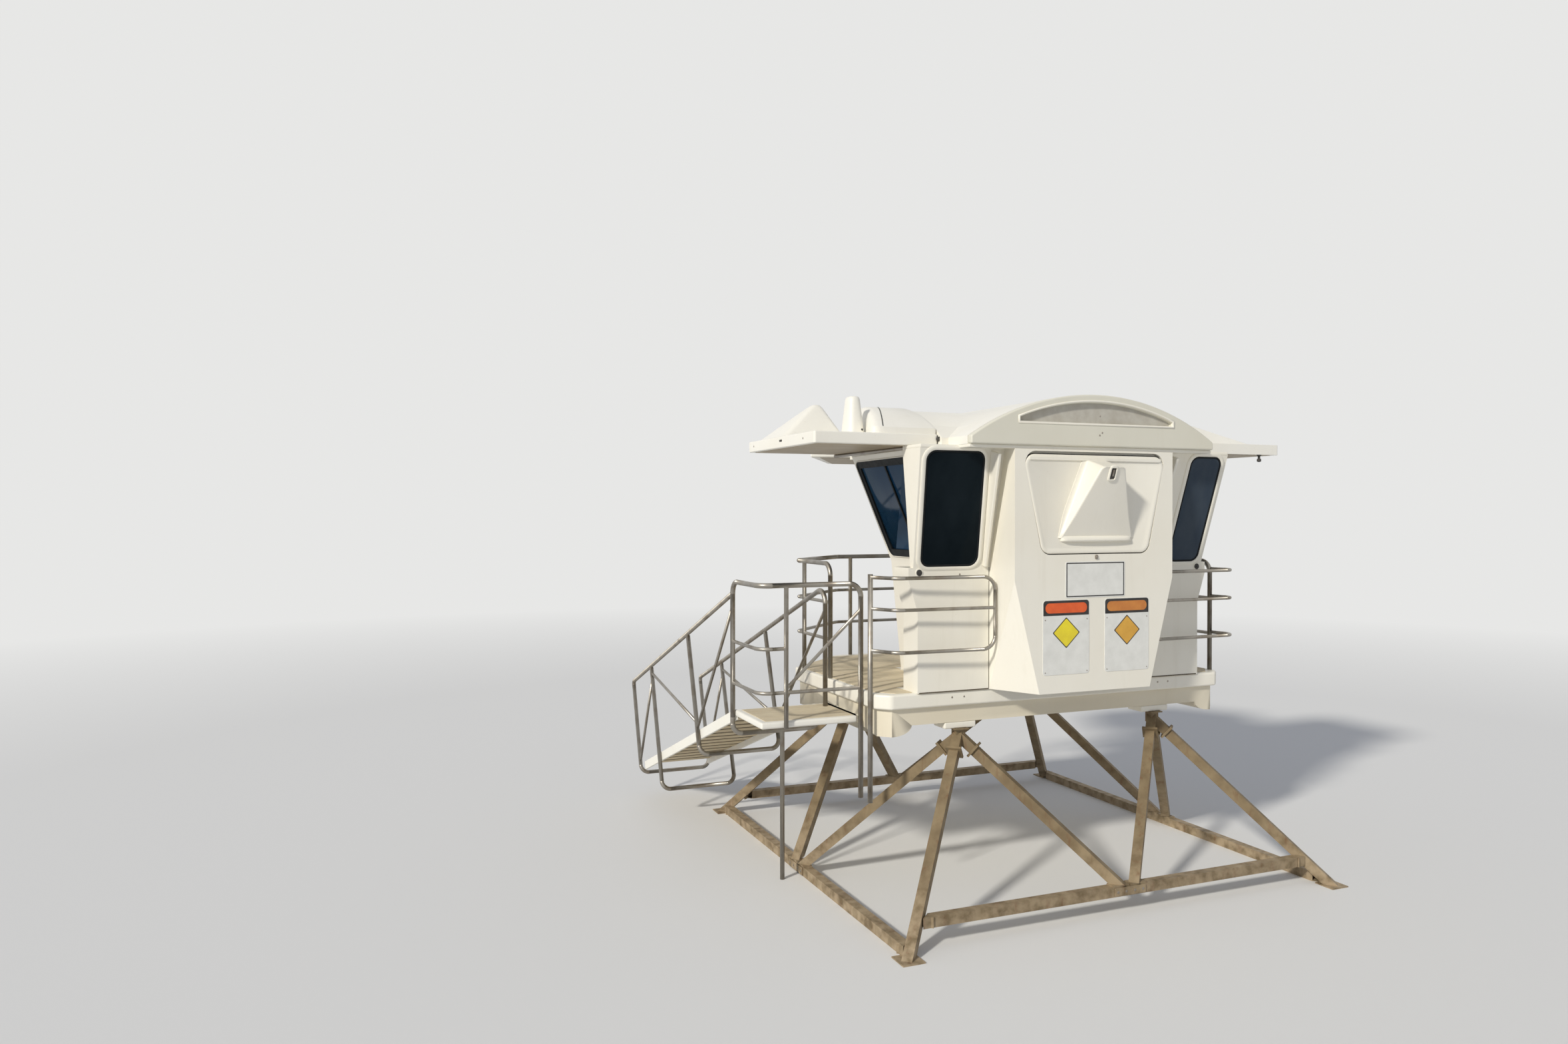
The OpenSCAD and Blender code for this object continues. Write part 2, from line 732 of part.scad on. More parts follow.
// Flat shape in X and Z, drawn towards the rear from distance y
module upright(y, depth) {
    translate([0, -y, 0]) rotate([90, 0, 0]) linear_extrude(depth) children();
}

module rear_bay() {
    color("ivory") place() difference() {
        loft([
            at_z(bay_outline(bay_foot_half, 0), deck_z),
            at_z(bay_outline(bay_half, 0), bay_knee_z),
            at_z(bay_outline(bay_half, 0), wall_top)
        ]);
        loft([
            at_z(bay_outline(bay_foot_half, wall_t), deck_z - seam),
            at_z(bay_outline(bay_half, wall_t), bay_knee_z),
            at_z(bay_outline(bay_half, wall_t), wall_top + seam)
        ]);
        upright(bay_y - shutter_t, shutter_t + seam) polygon(shutter_outline(shutter_gap));
        upright(bay_y - bay_wall - seam, bay_wall + 2 * seam) polygon(shutter_outline(-rebate_lip));
    }
}

// The shutter's hood: its foot and top on the panel, then its face, set in and out from them
relief_foot_half = 361;
relief_foot_z = 2950;
relief_top_half = 158;
relief_top_z = 3634;
relief_face_foot = [300, 60, 30];
relief_face_top = [114, 27];
module rear_shutter() {
    color("white") place() {
        upright(bay_y - shutter_t, shutter_t) polygon(shutter_outline(0));
        loft([
            [[-relief_foot_half, -bay_y, relief_foot_z], [relief_foot_half, -bay_y, relief_foot_z],
                [relief_top_half, -bay_y, relief_top_z], [-relief_top_half, -bay_y, relief_top_z]],
            [[-relief_face_foot[0], -bay_y - relief_face_foot[1], relief_foot_z + relief_face_foot[2]],
                [relief_face_foot[0], -bay_y - relief_face_foot[1], relief_foot_z + relief_face_foot[2]],
                [relief_face_top[0], -bay_y - relief_out, relief_top_z - relief_face_top[1]],
                [-relief_face_top[0], -bay_y - relief_out, relief_top_z - relief_face_top[1]]]
        ]);
    }
}

module rear_left_wall() { color("ivory") place() mirror([1, 0, 0]) rear_wall(); }
module rear_right_wall() { color("ivory") place() rear_wall(); }
module left_wall() { color("ivory") place() mirror([1, 0, 0]) side_wall(); }
module right_wall() { color("ivory") place() side_wall(); }
module front_left_wall() { color("ivory") place() mirror([1, 0, 0]) diagonal_wall(); }
module front_right_wall() { color("ivory") place() diagonal_wall(); }
module front_wall() { color("ivory") place() front(); }
module rear_glass() { color("darkslategray") place() both_sides() rear_pane(); }
module side_glass() { color("steelblue") place() both_sides() side_pane(); }
module front_glass() { color("steelblue") place() both_sides() diagonal_pane(); }

// Roof
arch_half = roof_half;
arch_rise = crown_z - eave_z - fascia_edge;
arch_r = (pow(arch_half, 2) + pow(arch_rise, 2)) / (2 * arch_rise);
vault_mid = (awning_front - awning_rear) / 2;
vault_over = 50;
vault_run = (awning_front + awning_rear) / 2 + vault_over;
vault_rise = vault_z - eave_z - fascia_edge;
vault_r = (pow(vault_run, 2) + pow(vault_rise, 2)) / (2 * vault_rise);

// Arch outline standing on the ceiling, with its inner face t further in
module arch(half, rise, radius, t) {
    intersection() {
        translate([-half + t, 0]) square([2 * (half - t), fascia_edge + rise - t]);
        translate([0, fascia_edge + rise - radius]) circle(r = radius - t, $fn = 96);
    }
}
module main_arch(t, y1, y2) {
    translate([0, y2, eave_z]) rotate([90, 0, 0])
        linear_extrude(y2 - y1) arch(arch_half, arch_rise, arch_r, t);
}
module cross_arch(t, half) {
    translate([-half, vault_mid, eave_z]) rotate([90, 0, 90])
        linear_extrude(2 * half) arch(vault_run, vault_rise, vault_r, t);
}

module roof() {
    color("white") place() difference() {
        union() {
            main_arch(0, -roof_rear + fascia_t, roof_front - fascia_t);
            cross_arch(0, vault_half);
        }
        translate([0, 0, -seam]) {
            main_arch(roof_wall, -roof_rear + fascia_t - seam, roof_front - fascia_t + seam);
            cross_arch(roof_wall, vault_half - roof_wall);
        }
    }
}

// Long recess in each fascia: half width, height of its foot, distance from the arch, depth
slot_half = 770;
slot_foot = 190;
slot_edge = 62;
slot_deep = 40;
module fascia_slot() {
    intersection() {
        translate([-slot_half, slot_foot]) square([2 * slot_half, arch_rise]);
        translate([0, fascia_edge + arch_rise - arch_r]) circle(r = arch_r - slot_edge, $fn = 96);
    }
}
module fascia() {
    difference() {
        main_arch(0, -fascia_t, 0);
        translate([0, -fascia_t + slot_deep, eave_z]) rotate([90, 0, 0])
            linear_extrude(slot_deep + past) fascia_slot();
    }
}
module rear_fascia() { color("ivory") place() translate([0, -roof_rear + fascia_t, 0]) fascia(); }
module front_fascia() {
    color("ivory") place() translate([0, roof_front - fascia_t, 0]) mirror([0, 1, 0]) fascia();
}

// Plate that closes the cabin and carries roof and awnings
module ceiling() {
    color("ivory") place() translate([0, 0, wall_top]) linear_extrude(ceiling_t) {
        translate([-roof_half, -bay_y]) square([2 * roof_half, bay_y + roof_front - fascia_t]);
        polygon([
            [-pane_half - rear_flare, -rear_y - rear_lean], [pane_half + rear_flare, -rear_y - rear_lean],
            [pane_half + rear_flare, -rear_y + wall_t], [side_half + side_splay + side_lean, -rear_y + wall_t],
            [side_half + side_lean, side_front_y], [front_top_half, front_top_y],
            [-front_top_half, front_top_y], [-side_half - side_lean, side_front_y],
            [-side_half - side_splay - side_lean, -rear_y + wall_t], [-pane_half - rear_flare, -rear_y + wall_t]
        ]);
    }
}

// Awnings
function frustum(x1, x2, y1, y2, xt, yt, top, z1, z2) = [
    [[x1, y1, z1], [x2, y1, z1], [x2, y2, z1], [x1, y2, z1]],
    [[xt - top, yt - top, z2], [xt + top, yt - top, z2], [xt + top, yt + top, z2], [xt - top, yt + top, z2]]
];
awning_end = awning_hinge + awning_w;
awning_r = 20;
module awning_plate() {
    translate([0, 0, eave_z]) linear_extrude(awning_t) polygon(round_outline([
        [awning_hinge, -awning_rear], [awning_end, -awning_rear],
        [awning_end, awning_front], [awning_hinge, awning_front]
    ], awning_r));
}
// Two hoods on the left awning: a long one that falls to the outer edge, and a narrow one
hood_x = 608;
hood_y = 60;
hood_back = 200;
hood_side = 300;
hood_edge = 40;
hood_front = 30;
fin_x = 598;
fin_y = 790;
fin_half = 150;
fin_rear = 250;
peak_half = 28;
hood_peak = [awning_hinge + hood_x, -hood_y];
fin_peak = [awning_hinge + fin_x, -fin_y];
// Low hood on the right awning, rising towards the hinge
low_hood_end = 790;
low_hood_rise = 160;
low_hood_in = 30;
low_hood_side = 50;
low_hood_back = 10;
low_hood_w = 170;
low_hood_slant = 90;
module tall_hoods() {
    z = eave_z + awning_t;
    loft(frustum(hood_peak[0] - hood_back, awning_end - hood_edge, hood_peak[1] - hood_side,
        awning_front - hood_front,
        hood_peak[0], hood_peak[1], peak_half, z, awning_peak_z));
    loft(frustum(fin_peak[0] - fin_half, fin_peak[0] + fin_half, fin_peak[1] - fin_rear, fin_peak[1] + fin_rear,
        fin_peak[0], fin_peak[1], peak_half, z, awning_peak_z));
}
module low_hood() {
    z = eave_z + awning_t;
    x1 = awning_hinge + low_hood_in;
    x2 = awning_hinge + low_hood_end;
    y1 = -awning_rear + low_hood_side;
    y2 = awning_front - low_hood_side;
    loft([
        at_z([[x1, y1], [x2, y1], [x2, y2], [x1, y2]], z),
        at_z([[x1 + low_hood_back, y1 + low_hood_slant], [x1 + low_hood_w, y1 + low_hood_slant],
            [x1 + low_hood_w, y2 - low_hood_slant], [x1 + low_hood_back, y2 - low_hood_slant]],
            z + low_hood_rise)
    ]);
}
module left_awning() {
    color("white") place() mirror([1, 0, 0]) {
        awning_plate();
        tall_hoods();
    }
}
module right_awning() {
    color("white") place() {
        awning_plate();
        low_hood();
    }
}
brow_wide = 64;
brow_side = 118;
module front_awning() {
    x = pane_half + brow_wide;
    y = roof_front + brow_side;
    color("white") place() translate([0, 0, eave_z]) linear_extrude(awning_t) polygon([
        [-roof_half, roof_front], [roof_half, roof_front], [x, y], [brow_half, brow_front],
        [-brow_half, brow_front], [-x, y]
    ]);
}
// Bar under each side awning, along the eave
stay_r = 16;
stay_rear = 5;
stay_front = 20;
module awning_stays() {
    x = side_half + side_splay + side_lean + stay_r;
    z = eave_z - stay_r;
    color("silver") place() both_sides()
        rod([x, -rear_y + wall_t + stay_rear, z], [x, awning_front - stay_front, z], stay_r);
}

// Landing and ramp
module ramp_frame() {
    translate([0, -landing_front, landing_z]) rotate([-slope, 0, 0]) children();
}

// Two tongues carry the landing on the hull
tongue_w = 60;
tongue_in = 60;
tongue_low = 10;
module landing() {
    color("white") place() {
        translate([-ramp_out, -landing_rear, landing_z - landing_t])
            cube([ramp_out - deck_half - landing_gap, landing_rear - landing_front, landing_t]);
        for (y = [-landing_rear + tongue_in, -landing_front - tongue_in - tongue_w])
            translate([-deck_half - landing_gap, y, landing_z - landing_t])
                cube([landing_gap + hull_inset, tongue_w, landing_t - tongue_low]);
    }
}
// Hoop under the landing's front end, on a post to the ground
hoop_in = 20;
hoop_drop = 204;
hoop_top = 60;
hoop_r = 90;
hoop_post_off = 55;
hoop_y = -landing_front - hoop_in;
module landing_frame() {
    z = landing_z - hoop_drop;
    mid = (left_line + right_line) / 2 + hoop_post_off;
    color("silver") place() {
        bent_tube([
            [left_line, hoop_y, landing_z - hoop_top], [left_line, hoop_y, z],
            [right_line, hoop_y, z], [right_line, hoop_y, landing_z - landing_t]
        ], post_r, hoop_r);
        rod([mid, hoop_y, 0], [mid, hoop_y, z], post_r - 1);
    }
}
module ramp_stringers() {
    color("white") place() ramp_frame() for (x = [-ramp_out, -ramp_in - stringer_t])
        translate([x, 0, -stringer_h]) cube([stringer_t, ramp_len, stringer_h]);
}
tread_set = 4;
module ramp_treads() {
    color("tan") place() ramp_frame() for (i = [0 : treads - 1])
        translate([-ramp_out + stringer_t, (i + 0.5) * ramp_len / treads - tread_w / 2, -tread_t - tread_set])
            cube([ramp_w - 2 * stringer_t, tread_w, tread_t]);
}
// Hoops round the ramp: where they stand along the slope, how far they drop, where they end
frame_1 = 1050;
frame_2 = 2500;
drop_1 = 236;
drop_2 = 392;
bend_drop = 80;
frame_at = [frame_1, frame_2, rail_end];
frame_drop = [drop_1, drop_2, stringer_h + post_r];
frame_top = [rail_up - post_r, rail_up - post_r, rail_up - bend_drop];
// Where a handrail's line passes a given distance from the centre
function rail_s(y) = (y + landing_front - rail_up * sin(slope)) / cos(slope);
right_post_in = 161;
right_post_y = -landing_front - right_post_in;
left_head = on_ramp(left_line, rail_s(hoop_y), rail_up);
right_head = on_ramp(right_line, rail_s(right_post_y), rail_up);
brace_r = rail_r - 1;
brace_seat = 0.3;
frame_dir = [0, sin(slope), cos(slope)];
// End of a brace from p to q that stops on the face of a post through p along n
function on_post(p, q, n) =
    let (d = unit(q - p), c = abs(d * n))
    p + d * ((post_r - brace_seat + brace_r * c) / sqrt(1 - c * c));
// Zigzag braces of a handrail, from a point on its head post
brace_low = 10;
brace_high = 80;
brace_step = 60;
module rail_braces(x, from) {
    foot = on_ramp(x, frame_at[0], brace_low);
    foot2 = on_ramp(x, frame_at[0], brace_low + brace_step);
    peak = on_ramp(x, frame_at[1], rail_up - brace_high);
    peak2 = on_ramp(x, frame_at[1], rail_up - brace_high - brace_step);
    last = on_ramp(x, frame_at[2], brace_low);
    rod(on_post(from, foot, [0, 0, 1]), on_post(foot, from, frame_dir), brace_r);
    rod(on_post(foot2, peak, frame_dir), on_post(peak, foot2, frame_dir), brace_r);
    rod(on_post(peak2, last, frame_dir), on_post(last, peak2, frame_dir), brace_r);
}
module ramp_frames() {
    color("silver") place() {
        for (i = [0 : 2])
            bent_tube([
                on_ramp(left_line, frame_at[i], frame_top[i]), on_ramp(left_line, frame_at[i], -frame_drop[i]),
                on_ramp(right_line, frame_at[i], -frame_drop[i]), on_ramp(right_line, frame_at[i], frame_top[i])
            ], post_r, hoop_r);
    }
}
// Handrail down to its end, which bends onto the last frame
module handrail(x, start) {
    bent_tube([start, on_ramp(x, rail_end, rail_up), on_ramp(x, rail_end, frame_top[2])], post_r, end_bend);
}
left_brace_drop = 110;
right_brace_drop = 200;
module ramp_left_rail() {
    clear = post_r + seam;
    color("silver") place() {
        handrail(left_line, left_head + [0, clear, -clear * tan(slope)]);
        rail_braces(left_line, left_head - [0, 0, left_brace_drop]);
    }
}
module ramp_right_rail() {
    color("silver") place() {
        bent_tube([[right_line, right_post_y, landing_z], right_head,
            on_ramp(right_line, 0, rail_up)], post_r, bend_r);
        handrail(right_line, on_ramp(right_line, -lap, rail_up));
        rail_braces(right_line, right_head - [0, 0, right_brace_drop]);
    }
}

// Rails round landing and deck
post_tail = 884;
post_foot_z = deck_z - post_tail;
landing_rail_top = 1099;
landing_rail_mid = 590;
landing_rail_low = 236;
landing_post = 228;
strut_foot = 30;
strut_drop = 213;
module landing_rail() {
    y1 = -landing_rear - post_r;
    x2 = -deck_half - post_r;
    mid = left_line + landing_post;
    top = landing_z + landing_rail_top;
    z2 = landing_z + landing_rail_mid;
    z3 = landing_z + landing_rail_low;
    color("silver") place() {
        bent_tube([
            [left_line, hoop_y, landing_z - hoop_top], [left_line, hoop_y, top], [left_line, y1, top],
            [x2, y1, top], [x2, y1, post_foot_z]
        ], post_r, bend_r);
        bent_tube([[left_line, hoop_y, z2], [left_line, y1, z2], [mid, y1, z2]], rail_r, bend_r);
        bent_tube([[left_line, hoop_y, z3], [left_line, y1, z3], [x2, y1, z3]], rail_r, bend_r);
        rod([mid, y1, landing_z - landing_t], [mid, y1, top], post_r - 2);
        rod([mid, y1, z3 + strut_foot], [x2, y1, top - strut_drop], rail_r - 1);
    }
}
// Heights of the rear rails' bars over the deck, and where their posts stand
rear_rail_top = 950;
rear_rail_mid = 695;
rear_rail_low = 355;
rear_rail_gap = 140;
rear_rail_slant = 35;
rear_rail_past = 10;
rail_in = 30;
left_rail_y = -80;
right_rail_y = -938;
module rear_rail(post, bend_x) {
    tip_y = -rear_y - rear_rail_gap;
    bend = [bend_x, tip_y + rear_rail_slant, deck_z];
    tip = [bay_half + rear_rail_past, tip_y, deck_z];
    top = [0, 0, rear_rail_top];
    mid = [0, 0, rear_rail_mid];
    low = [0, 0, rear_rail_low];
    bent_tube([post + top, bend + top, tip + top, tip + low, bend + low, post + low], rail_r, bend_r);
    bent_tube([post + mid, bend + mid, tip + mid], rail_r - 1, bend_r);
}
// The left one has a long post of its own, the right one ends on the front rail's first post
rear_post_in = 15;
rear_post_up = 25;
left_bend_in = 106;
right_bend_out = 30;
post_bite = 4;
module rear_left_rail() {
    post = [deck_half + post_r, -deck_rear + deck_rear_cut + rear_post_in, deck_z];
    color("silver") place() mirror([1, 0, 0]) {
        rod([post[0], post[1], post_foot_z], post + [0, 0, rear_rail_top + rear_post_up], post_r);
        rear_rail(post, deck_half - left_bend_in);
    }
}
module rear_right_rail() {
    color("silver") place()
        rear_rail([deck_half - rail_in, right_rail_y - post_r + post_bite, deck_z], deck_half + right_bend_out);
}
front_rail_top = 1020;
front_rail_mid = 675;
front_rail_low = 345;
front_post_in = 160;
module front_rail(y) {
    x = deck_half - rail_in;
    yf = deck_front - rail_in;
    top = deck_z + front_rail_top;
    bent_tube([
        [x, y, deck_z], [x, y, top], [x, deck_side_end, top],
        [deck_front_half, yf, top], [0, yf, top]
    ], post_r, bend_r);
    for (z = [deck_z + front_rail_mid, deck_z + front_rail_low]) bent_tube([
        [x, y, z], [x, deck_side_end, z], [deck_front_half, yf, z], [0, yf, z]
    ], rail_r, bend_r);
    for (p = [[x, deck_side_end - front_post_in], [deck_front_half - front_post_in, yf]])
        rod([p[0], p[1], deck_z], [p[0], p[1], top], post_r - 1);
}
module front_left_rail() { color("silver") place() mirror([1, 0, 0]) front_rail(left_rail_y); }
module front_right_rail() { color("silver") place() front_rail(right_rail_y); }

rear_beam();
front_beam();
left_beam();
right_beam();
rear_left_leg();
rear_right_leg();
front_left_leg();
front_right_leg();
leg_heads();
rear_braces();
front_braces();
left_braces();
right_braces();
deck();
hull();
leg_pads();
rear_bay();
rear_left_wall();
rear_right_wall();
left_wall();
right_wall();
front_left_wall();
front_right_wall();
front_wall();
rear_glass();
side_glass();
front_glass();
ceiling();
roof();
rear_fascia();
front_fascia();
rear_shutter();
left_awning();
right_awning();
front_awning();
awning_stays();
landing();
landing_frame();
ramp_stringers();
ramp_treads();
ramp_frames();
ramp_left_rail();
ramp_right_rail();
landing_rail();
rear_left_rail();
rear_right_rail();
front_left_rail();
front_right_rail();
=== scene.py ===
"""Looks of the lifeguard tower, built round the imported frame.

Points are written in millimetres about the tower's centre, as in the part's
source, and row() turns them into the frame's metres.
"""

import math

import bmesh
import bpy
from mathutils import Matrix, Vector


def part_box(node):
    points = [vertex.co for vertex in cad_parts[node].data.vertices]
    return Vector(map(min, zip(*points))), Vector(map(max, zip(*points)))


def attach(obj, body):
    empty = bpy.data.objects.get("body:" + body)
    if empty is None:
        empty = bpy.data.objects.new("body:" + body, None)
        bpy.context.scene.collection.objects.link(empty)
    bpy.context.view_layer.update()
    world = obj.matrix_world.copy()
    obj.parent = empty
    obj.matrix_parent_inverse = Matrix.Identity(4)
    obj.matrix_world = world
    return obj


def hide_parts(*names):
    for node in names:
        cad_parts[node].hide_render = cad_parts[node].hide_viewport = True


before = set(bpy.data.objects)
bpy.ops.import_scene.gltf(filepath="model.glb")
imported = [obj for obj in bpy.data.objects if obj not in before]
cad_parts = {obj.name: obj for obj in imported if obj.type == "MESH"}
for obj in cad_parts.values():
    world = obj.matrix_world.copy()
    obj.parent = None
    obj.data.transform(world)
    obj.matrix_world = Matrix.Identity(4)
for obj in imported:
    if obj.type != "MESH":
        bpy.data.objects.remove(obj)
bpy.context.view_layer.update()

MM = 0.001

# Measures of the part's source that the dressing follows
TUBE = 80
DECK_Z, DECK_REAR, DECK_HALF, DECK_SIDE_END = 1715, 1100, 1796, 670
DECK_FRONT, DECK_FRONT_HALF = 1320, 1074
SILL_Z, WALL_TOP, EAVE_Z, WALL_T = 2741, 3706, 3733, 50
REAR_Y, BAY_Y, BAY_ROOT, WING_HALF, WING_DEPTH = 1110, 1516, 775, 1455, 240
PANE_HALF, REAR_LEAN, REAR_FLARE = 1496, 247, 73
SIDE_HALF, SIDE_FOOT_HALF, SIDE_SPLAY, SIDE_LEAN, SIDE_FRONT = 1045, 941, 66, 412, 131
FRONT_Y, FRONT_HALF, FRONT_FOOT_HALF, FRONT_LEAN = 568, 559, 455, 125
SASH, STILE, DOOR_HALF = 62, 125, 380
ROOF_REAR, ROOF_FRONT, ROOF_HALF, FASCIA_EDGE = 1545, 722, 1220, 66
CROWN_Z, VAULT_Z, VAULT_OVER = 4163, 4080, 50
SLOT_HALF, SLOT_FOOT, SLOT_EDGE = 770, 190, 62
AWNING_HINGE, AWNING_END, AWNING_REAR, AWNING_FRONT = 1292, 2392, 1150, 327
AWNING_TOP = EAVE_Z + 95
LANDING_Z, LANDING_REAR, LANDING_FRONT, LANDING_GAP = 1506, 779, 127, 38
RAMP_OUT, RAMP_IN, RAMP_L, RAMP_DROP, STRINGER_T = 2690, 1930, 3044, 1104, 28
TREADS, TREAD_W = 14, 150

deck_lo, deck_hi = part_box("deck")
ORIGIN = Vector((-(deck_lo.x + deck_hi.x) / 2 / MM, -DECK_REAR - deck_lo.y / MM, 0))


def row(p):
    """A point of the tower, in millimetres, as a point of the frame."""
    return (Vector(p) - ORIGIN) * MM


# Materials

class Nodes:
    """The node tree of a material or of the world, with short ways to add to it."""

    def __init__(self, owner):
        owner.use_nodes = True
        self.owner = owner
        self.tree = owner.node_tree
        self.coordinates = None

    def add(self, kind, **values):
        node = self.tree.nodes.new(kind)
        for key, value in values.items():
            if hasattr(node, key):
                setattr(node, key, value)
            else:
                node.inputs[key.replace("_", " ")].default_value = value
        return node

    def link(self, a, b):
        self.tree.links.new(a, b)

    def place(self):
        """Where a point lies on its piece, in metres."""
        if self.coordinates is None:
            self.coordinates = self.add("ShaderNodeTexCoord").outputs["Object"]
        return self.coordinates

    def noise(self, scale, detail, stretch=(1, 1, 1), rough=0.55):
        """Cloudy noise from 0 to 1, with its grain stretched by a scale for each axis."""
        mapping = self.add("ShaderNodeMapping")
        mapping.inputs["Scale"].default_value = stretch
        self.link(self.place(), mapping.inputs["Vector"])
        node = self.add("ShaderNodeTexNoise", Scale=scale, Detail=detail, Roughness=rough)
        self.link(mapping.outputs["Vector"], node.inputs["Vector"])
        return node.outputs["Fac"]

    def ramp(self, value, low, high, a=0.0, b=1.0):
        """The value taken from low..high to a..b, and no further."""
        node = self.add("ShaderNodeMapRange", clamp=True)
        self.link(value, node.inputs["Value"])
        for key, number in (("From Min", low), ("From Max", high), ("To Min", a), ("To Max", b)):
            node.inputs[key].default_value = number
        return node.outputs["Result"]

    def math(self, kind, a, b):
        node = self.add("ShaderNodeMath", operation=kind)
        for i, v in enumerate((a, b)):
            if isinstance(v, (int, float)):
                node.inputs[i].default_value = v
            else:
                self.link(v, node.inputs[i])
        return node.outputs[0]

    def blend(self, factor, a, b):
        node = self.add("ShaderNodeMix", data_type="RGBA")
        self.link(factor, node.inputs[0])
        for i, v in ((6, a), (7, b)):
            if isinstance(v, tuple):
                node.inputs[i].default_value = (*v, 1)
            else:
                self.link(v, node.inputs[i])
        return node.outputs[2]

    def height(self):
        """Height over the floor, in metres."""
        parts = self.add("ShaderNodeSeparateXYZ")
        self.link(self.place(), parts.inputs[0])
        return parts.outputs["Z"]

    def seen(self):
        """1 where the surface is looked at, straight or by way of metal or glass, and 0 where it lights."""
        path = self.add("ShaderNodeLightPath")
        direct = self.math("MAXIMUM", path.outputs["Is Camera Ray"], path.outputs["Is Glossy Ray"])
        return self.math("MAXIMUM", direct, path.outputs["Is Transmission Ray"])

    def mix_out(self, share, a, b, output):
        """Ends the tree in a mix of two shaders."""
        mixer = self.add("ShaderNodeMixShader")
        self.link(share, mixer.inputs[0])
        self.link(a.outputs[0], mixer.inputs[1])
        self.link(b.outputs[0], mixer.inputs[2])
        self.link(mixer.outputs[0], self.tree.nodes[output].inputs["Surface"])

    def finish(self, colour, rough, bumps=(), **sockets):
        """Sets the surface: bumps are (height, strength, distance), sockets are set on the shader."""
        shader = self.tree.nodes["Principled BSDF"]
        if isinstance(colour, tuple):
            shader.inputs["Base Color"].default_value = (*colour, 1)
        else:
            self.link(colour, shader.inputs["Base Color"])
        if isinstance(rough, float):
            shader.inputs["Roughness"].default_value = rough
        else:
            self.link(rough, shader.inputs["Roughness"])
        normal = None
        for value, strength, distance in bumps:
            bump = self.add("ShaderNodeBump", Strength=strength, Distance=distance)
            self.link(value, bump.inputs["Height"])
            if normal is not None:
                self.link(normal, bump.inputs["Normal"])
            normal = bump.outputs["Normal"]
        if normal is not None:
            self.link(normal, shader.inputs["Normal"])
        for key, value in sockets.items():
            shader.inputs[key.replace("_", " ")].default_value = value
        return self.owner


def paint(name):
    """The nodes of a new material."""
    return Nodes(bpy.data.materials.new(name))


def gelcoat(name, base, aged, stain, chalk=0.32):
    """Glass-fibre with a slightly chalked gelcoat, rain streaks and grime spots."""
    n = paint(name)
    broad = n.ramp(n.noise(1.3, 3), 0.35, 0.68)
    colour = n.blend(n.math("MULTIPLY", broad, 0.55), base, aged)
    streak = n.ramp(n.noise(1.0, 7, (7, 7, 0.7), 0.68), 0.56, 0.85)
    colour = n.blend(n.math("MULTIPLY", streak, 0.15), colour, stain)
    speck = n.ramp(n.noise(70, 2), 0.70, 0.80)
    colour = n.blend(n.math("MULTIPLY", speck, 0.35), colour, stain)
    rough = n.ramp(n.noise(6, 4), 0.3, 0.7, chalk, chalk + 0.18)
    return n.finish(colour, rough, [(n.noise(3.2, 2), 0.16, 0.02), (n.noise(240, 2), 0.07, 0.001)],
                    Coat_Weight=0.12, Coat_Roughness=0.25)


def painted_steel(name, base, light, rust):
    """Weathered brown-grey coating over galvanised tube, with rust and sand dust."""
    n = paint(name)
    patch = n.ramp(n.noise(5.5, 6), 0.36, 0.66)
    colour = n.blend(patch, base, light)
    bleed = n.ramp(n.noise(3.0, 8, (5, 5, 1.1), 0.65), 0.55, 0.72)
    colour = n.blend(n.math("MULTIPLY", bleed, 0.75), colour, rust)
    low = n.ramp(n.height(), 0.02, 0.55, 1.0, 0.0)
    dust = n.math("MULTIPLY", low, n.ramp(n.noise(11, 5), 0.35, 0.6))
    colour = n.blend(n.math("MULTIPLY", dust, 0.7), colour, (0.46, 0.36, 0.24))
    rough = n.ramp(n.noise(14, 4), 0.3, 0.7, 0.5, 0.82)
    return n.finish(colour, rough, [(n.noise(45, 6), 0.28, 0.003), (n.noise(380, 2), 0.12, 0.0006)],
                    Metallic=0.15)


def stainless(name, base, stain, rough=(0.30, 0.50)):
    """Stainless tube with brown tea staining and fine grinding marks."""
    n = paint(name)
    tea = n.ramp(n.noise(7, 6), 0.48, 0.74)
    colour = n.blend(n.math("MULTIPLY", tea, 0.7), base, stain)
    spots = n.ramp(n.noise(90, 3), 0.66, 0.74)
    colour = n.blend(n.math("MULTIPLY", spots, 0.5), colour, stain)
    return n.finish(colour, n.ramp(n.noise(9, 5), 0.3, 0.7, *rough),
                    [(n.noise(420, 2, (1, 1, 0.2)), 0.10, 0.0004)], Metallic=0.9)


def boards(name, base, pale, dark):
    """Sun-bleached boards with grain lines across the tower and grit."""
    n = paint(name)
    grain = n.noise(2.2, 7, (1.2, 26, 26), 0.62)
    colour = n.blend(n.ramp(grain, 0.3, 0.72), base, pale)
    worn = n.ramp(n.noise(3.1, 5), 0.5, 0.75)
    colour = n.blend(n.math("MULTIPLY", worn, 0.45), colour, dark)
    grit = n.ramp(n.noise(160, 3), 0.62, 0.75)
    colour = n.blend(n.math("MULTIPLY", grit, 0.4), colour, dark)
    return n.finish(colour, n.ramp(grain, 0.3, 0.7, 0.62, 0.86),
                    [(grain, 0.35, 0.002), (n.noise(300, 2), 0.25, 0.0008)])


def plain(name, base, other, rough, **sockets):
    """A small part's finish: two close tones, uneven gloss and a fine bump."""
    n = paint(name)
    colour = n.blend(n.ramp(n.noise(10, 4), 0.35, 0.7), base, other)
    return n.finish(colour, n.ramp(n.noise(20, 3), 0.3, 0.7, rough, rough + 0.15),
                    [(n.noise(60, 3), 0.08, 0.0008)], **sockets)


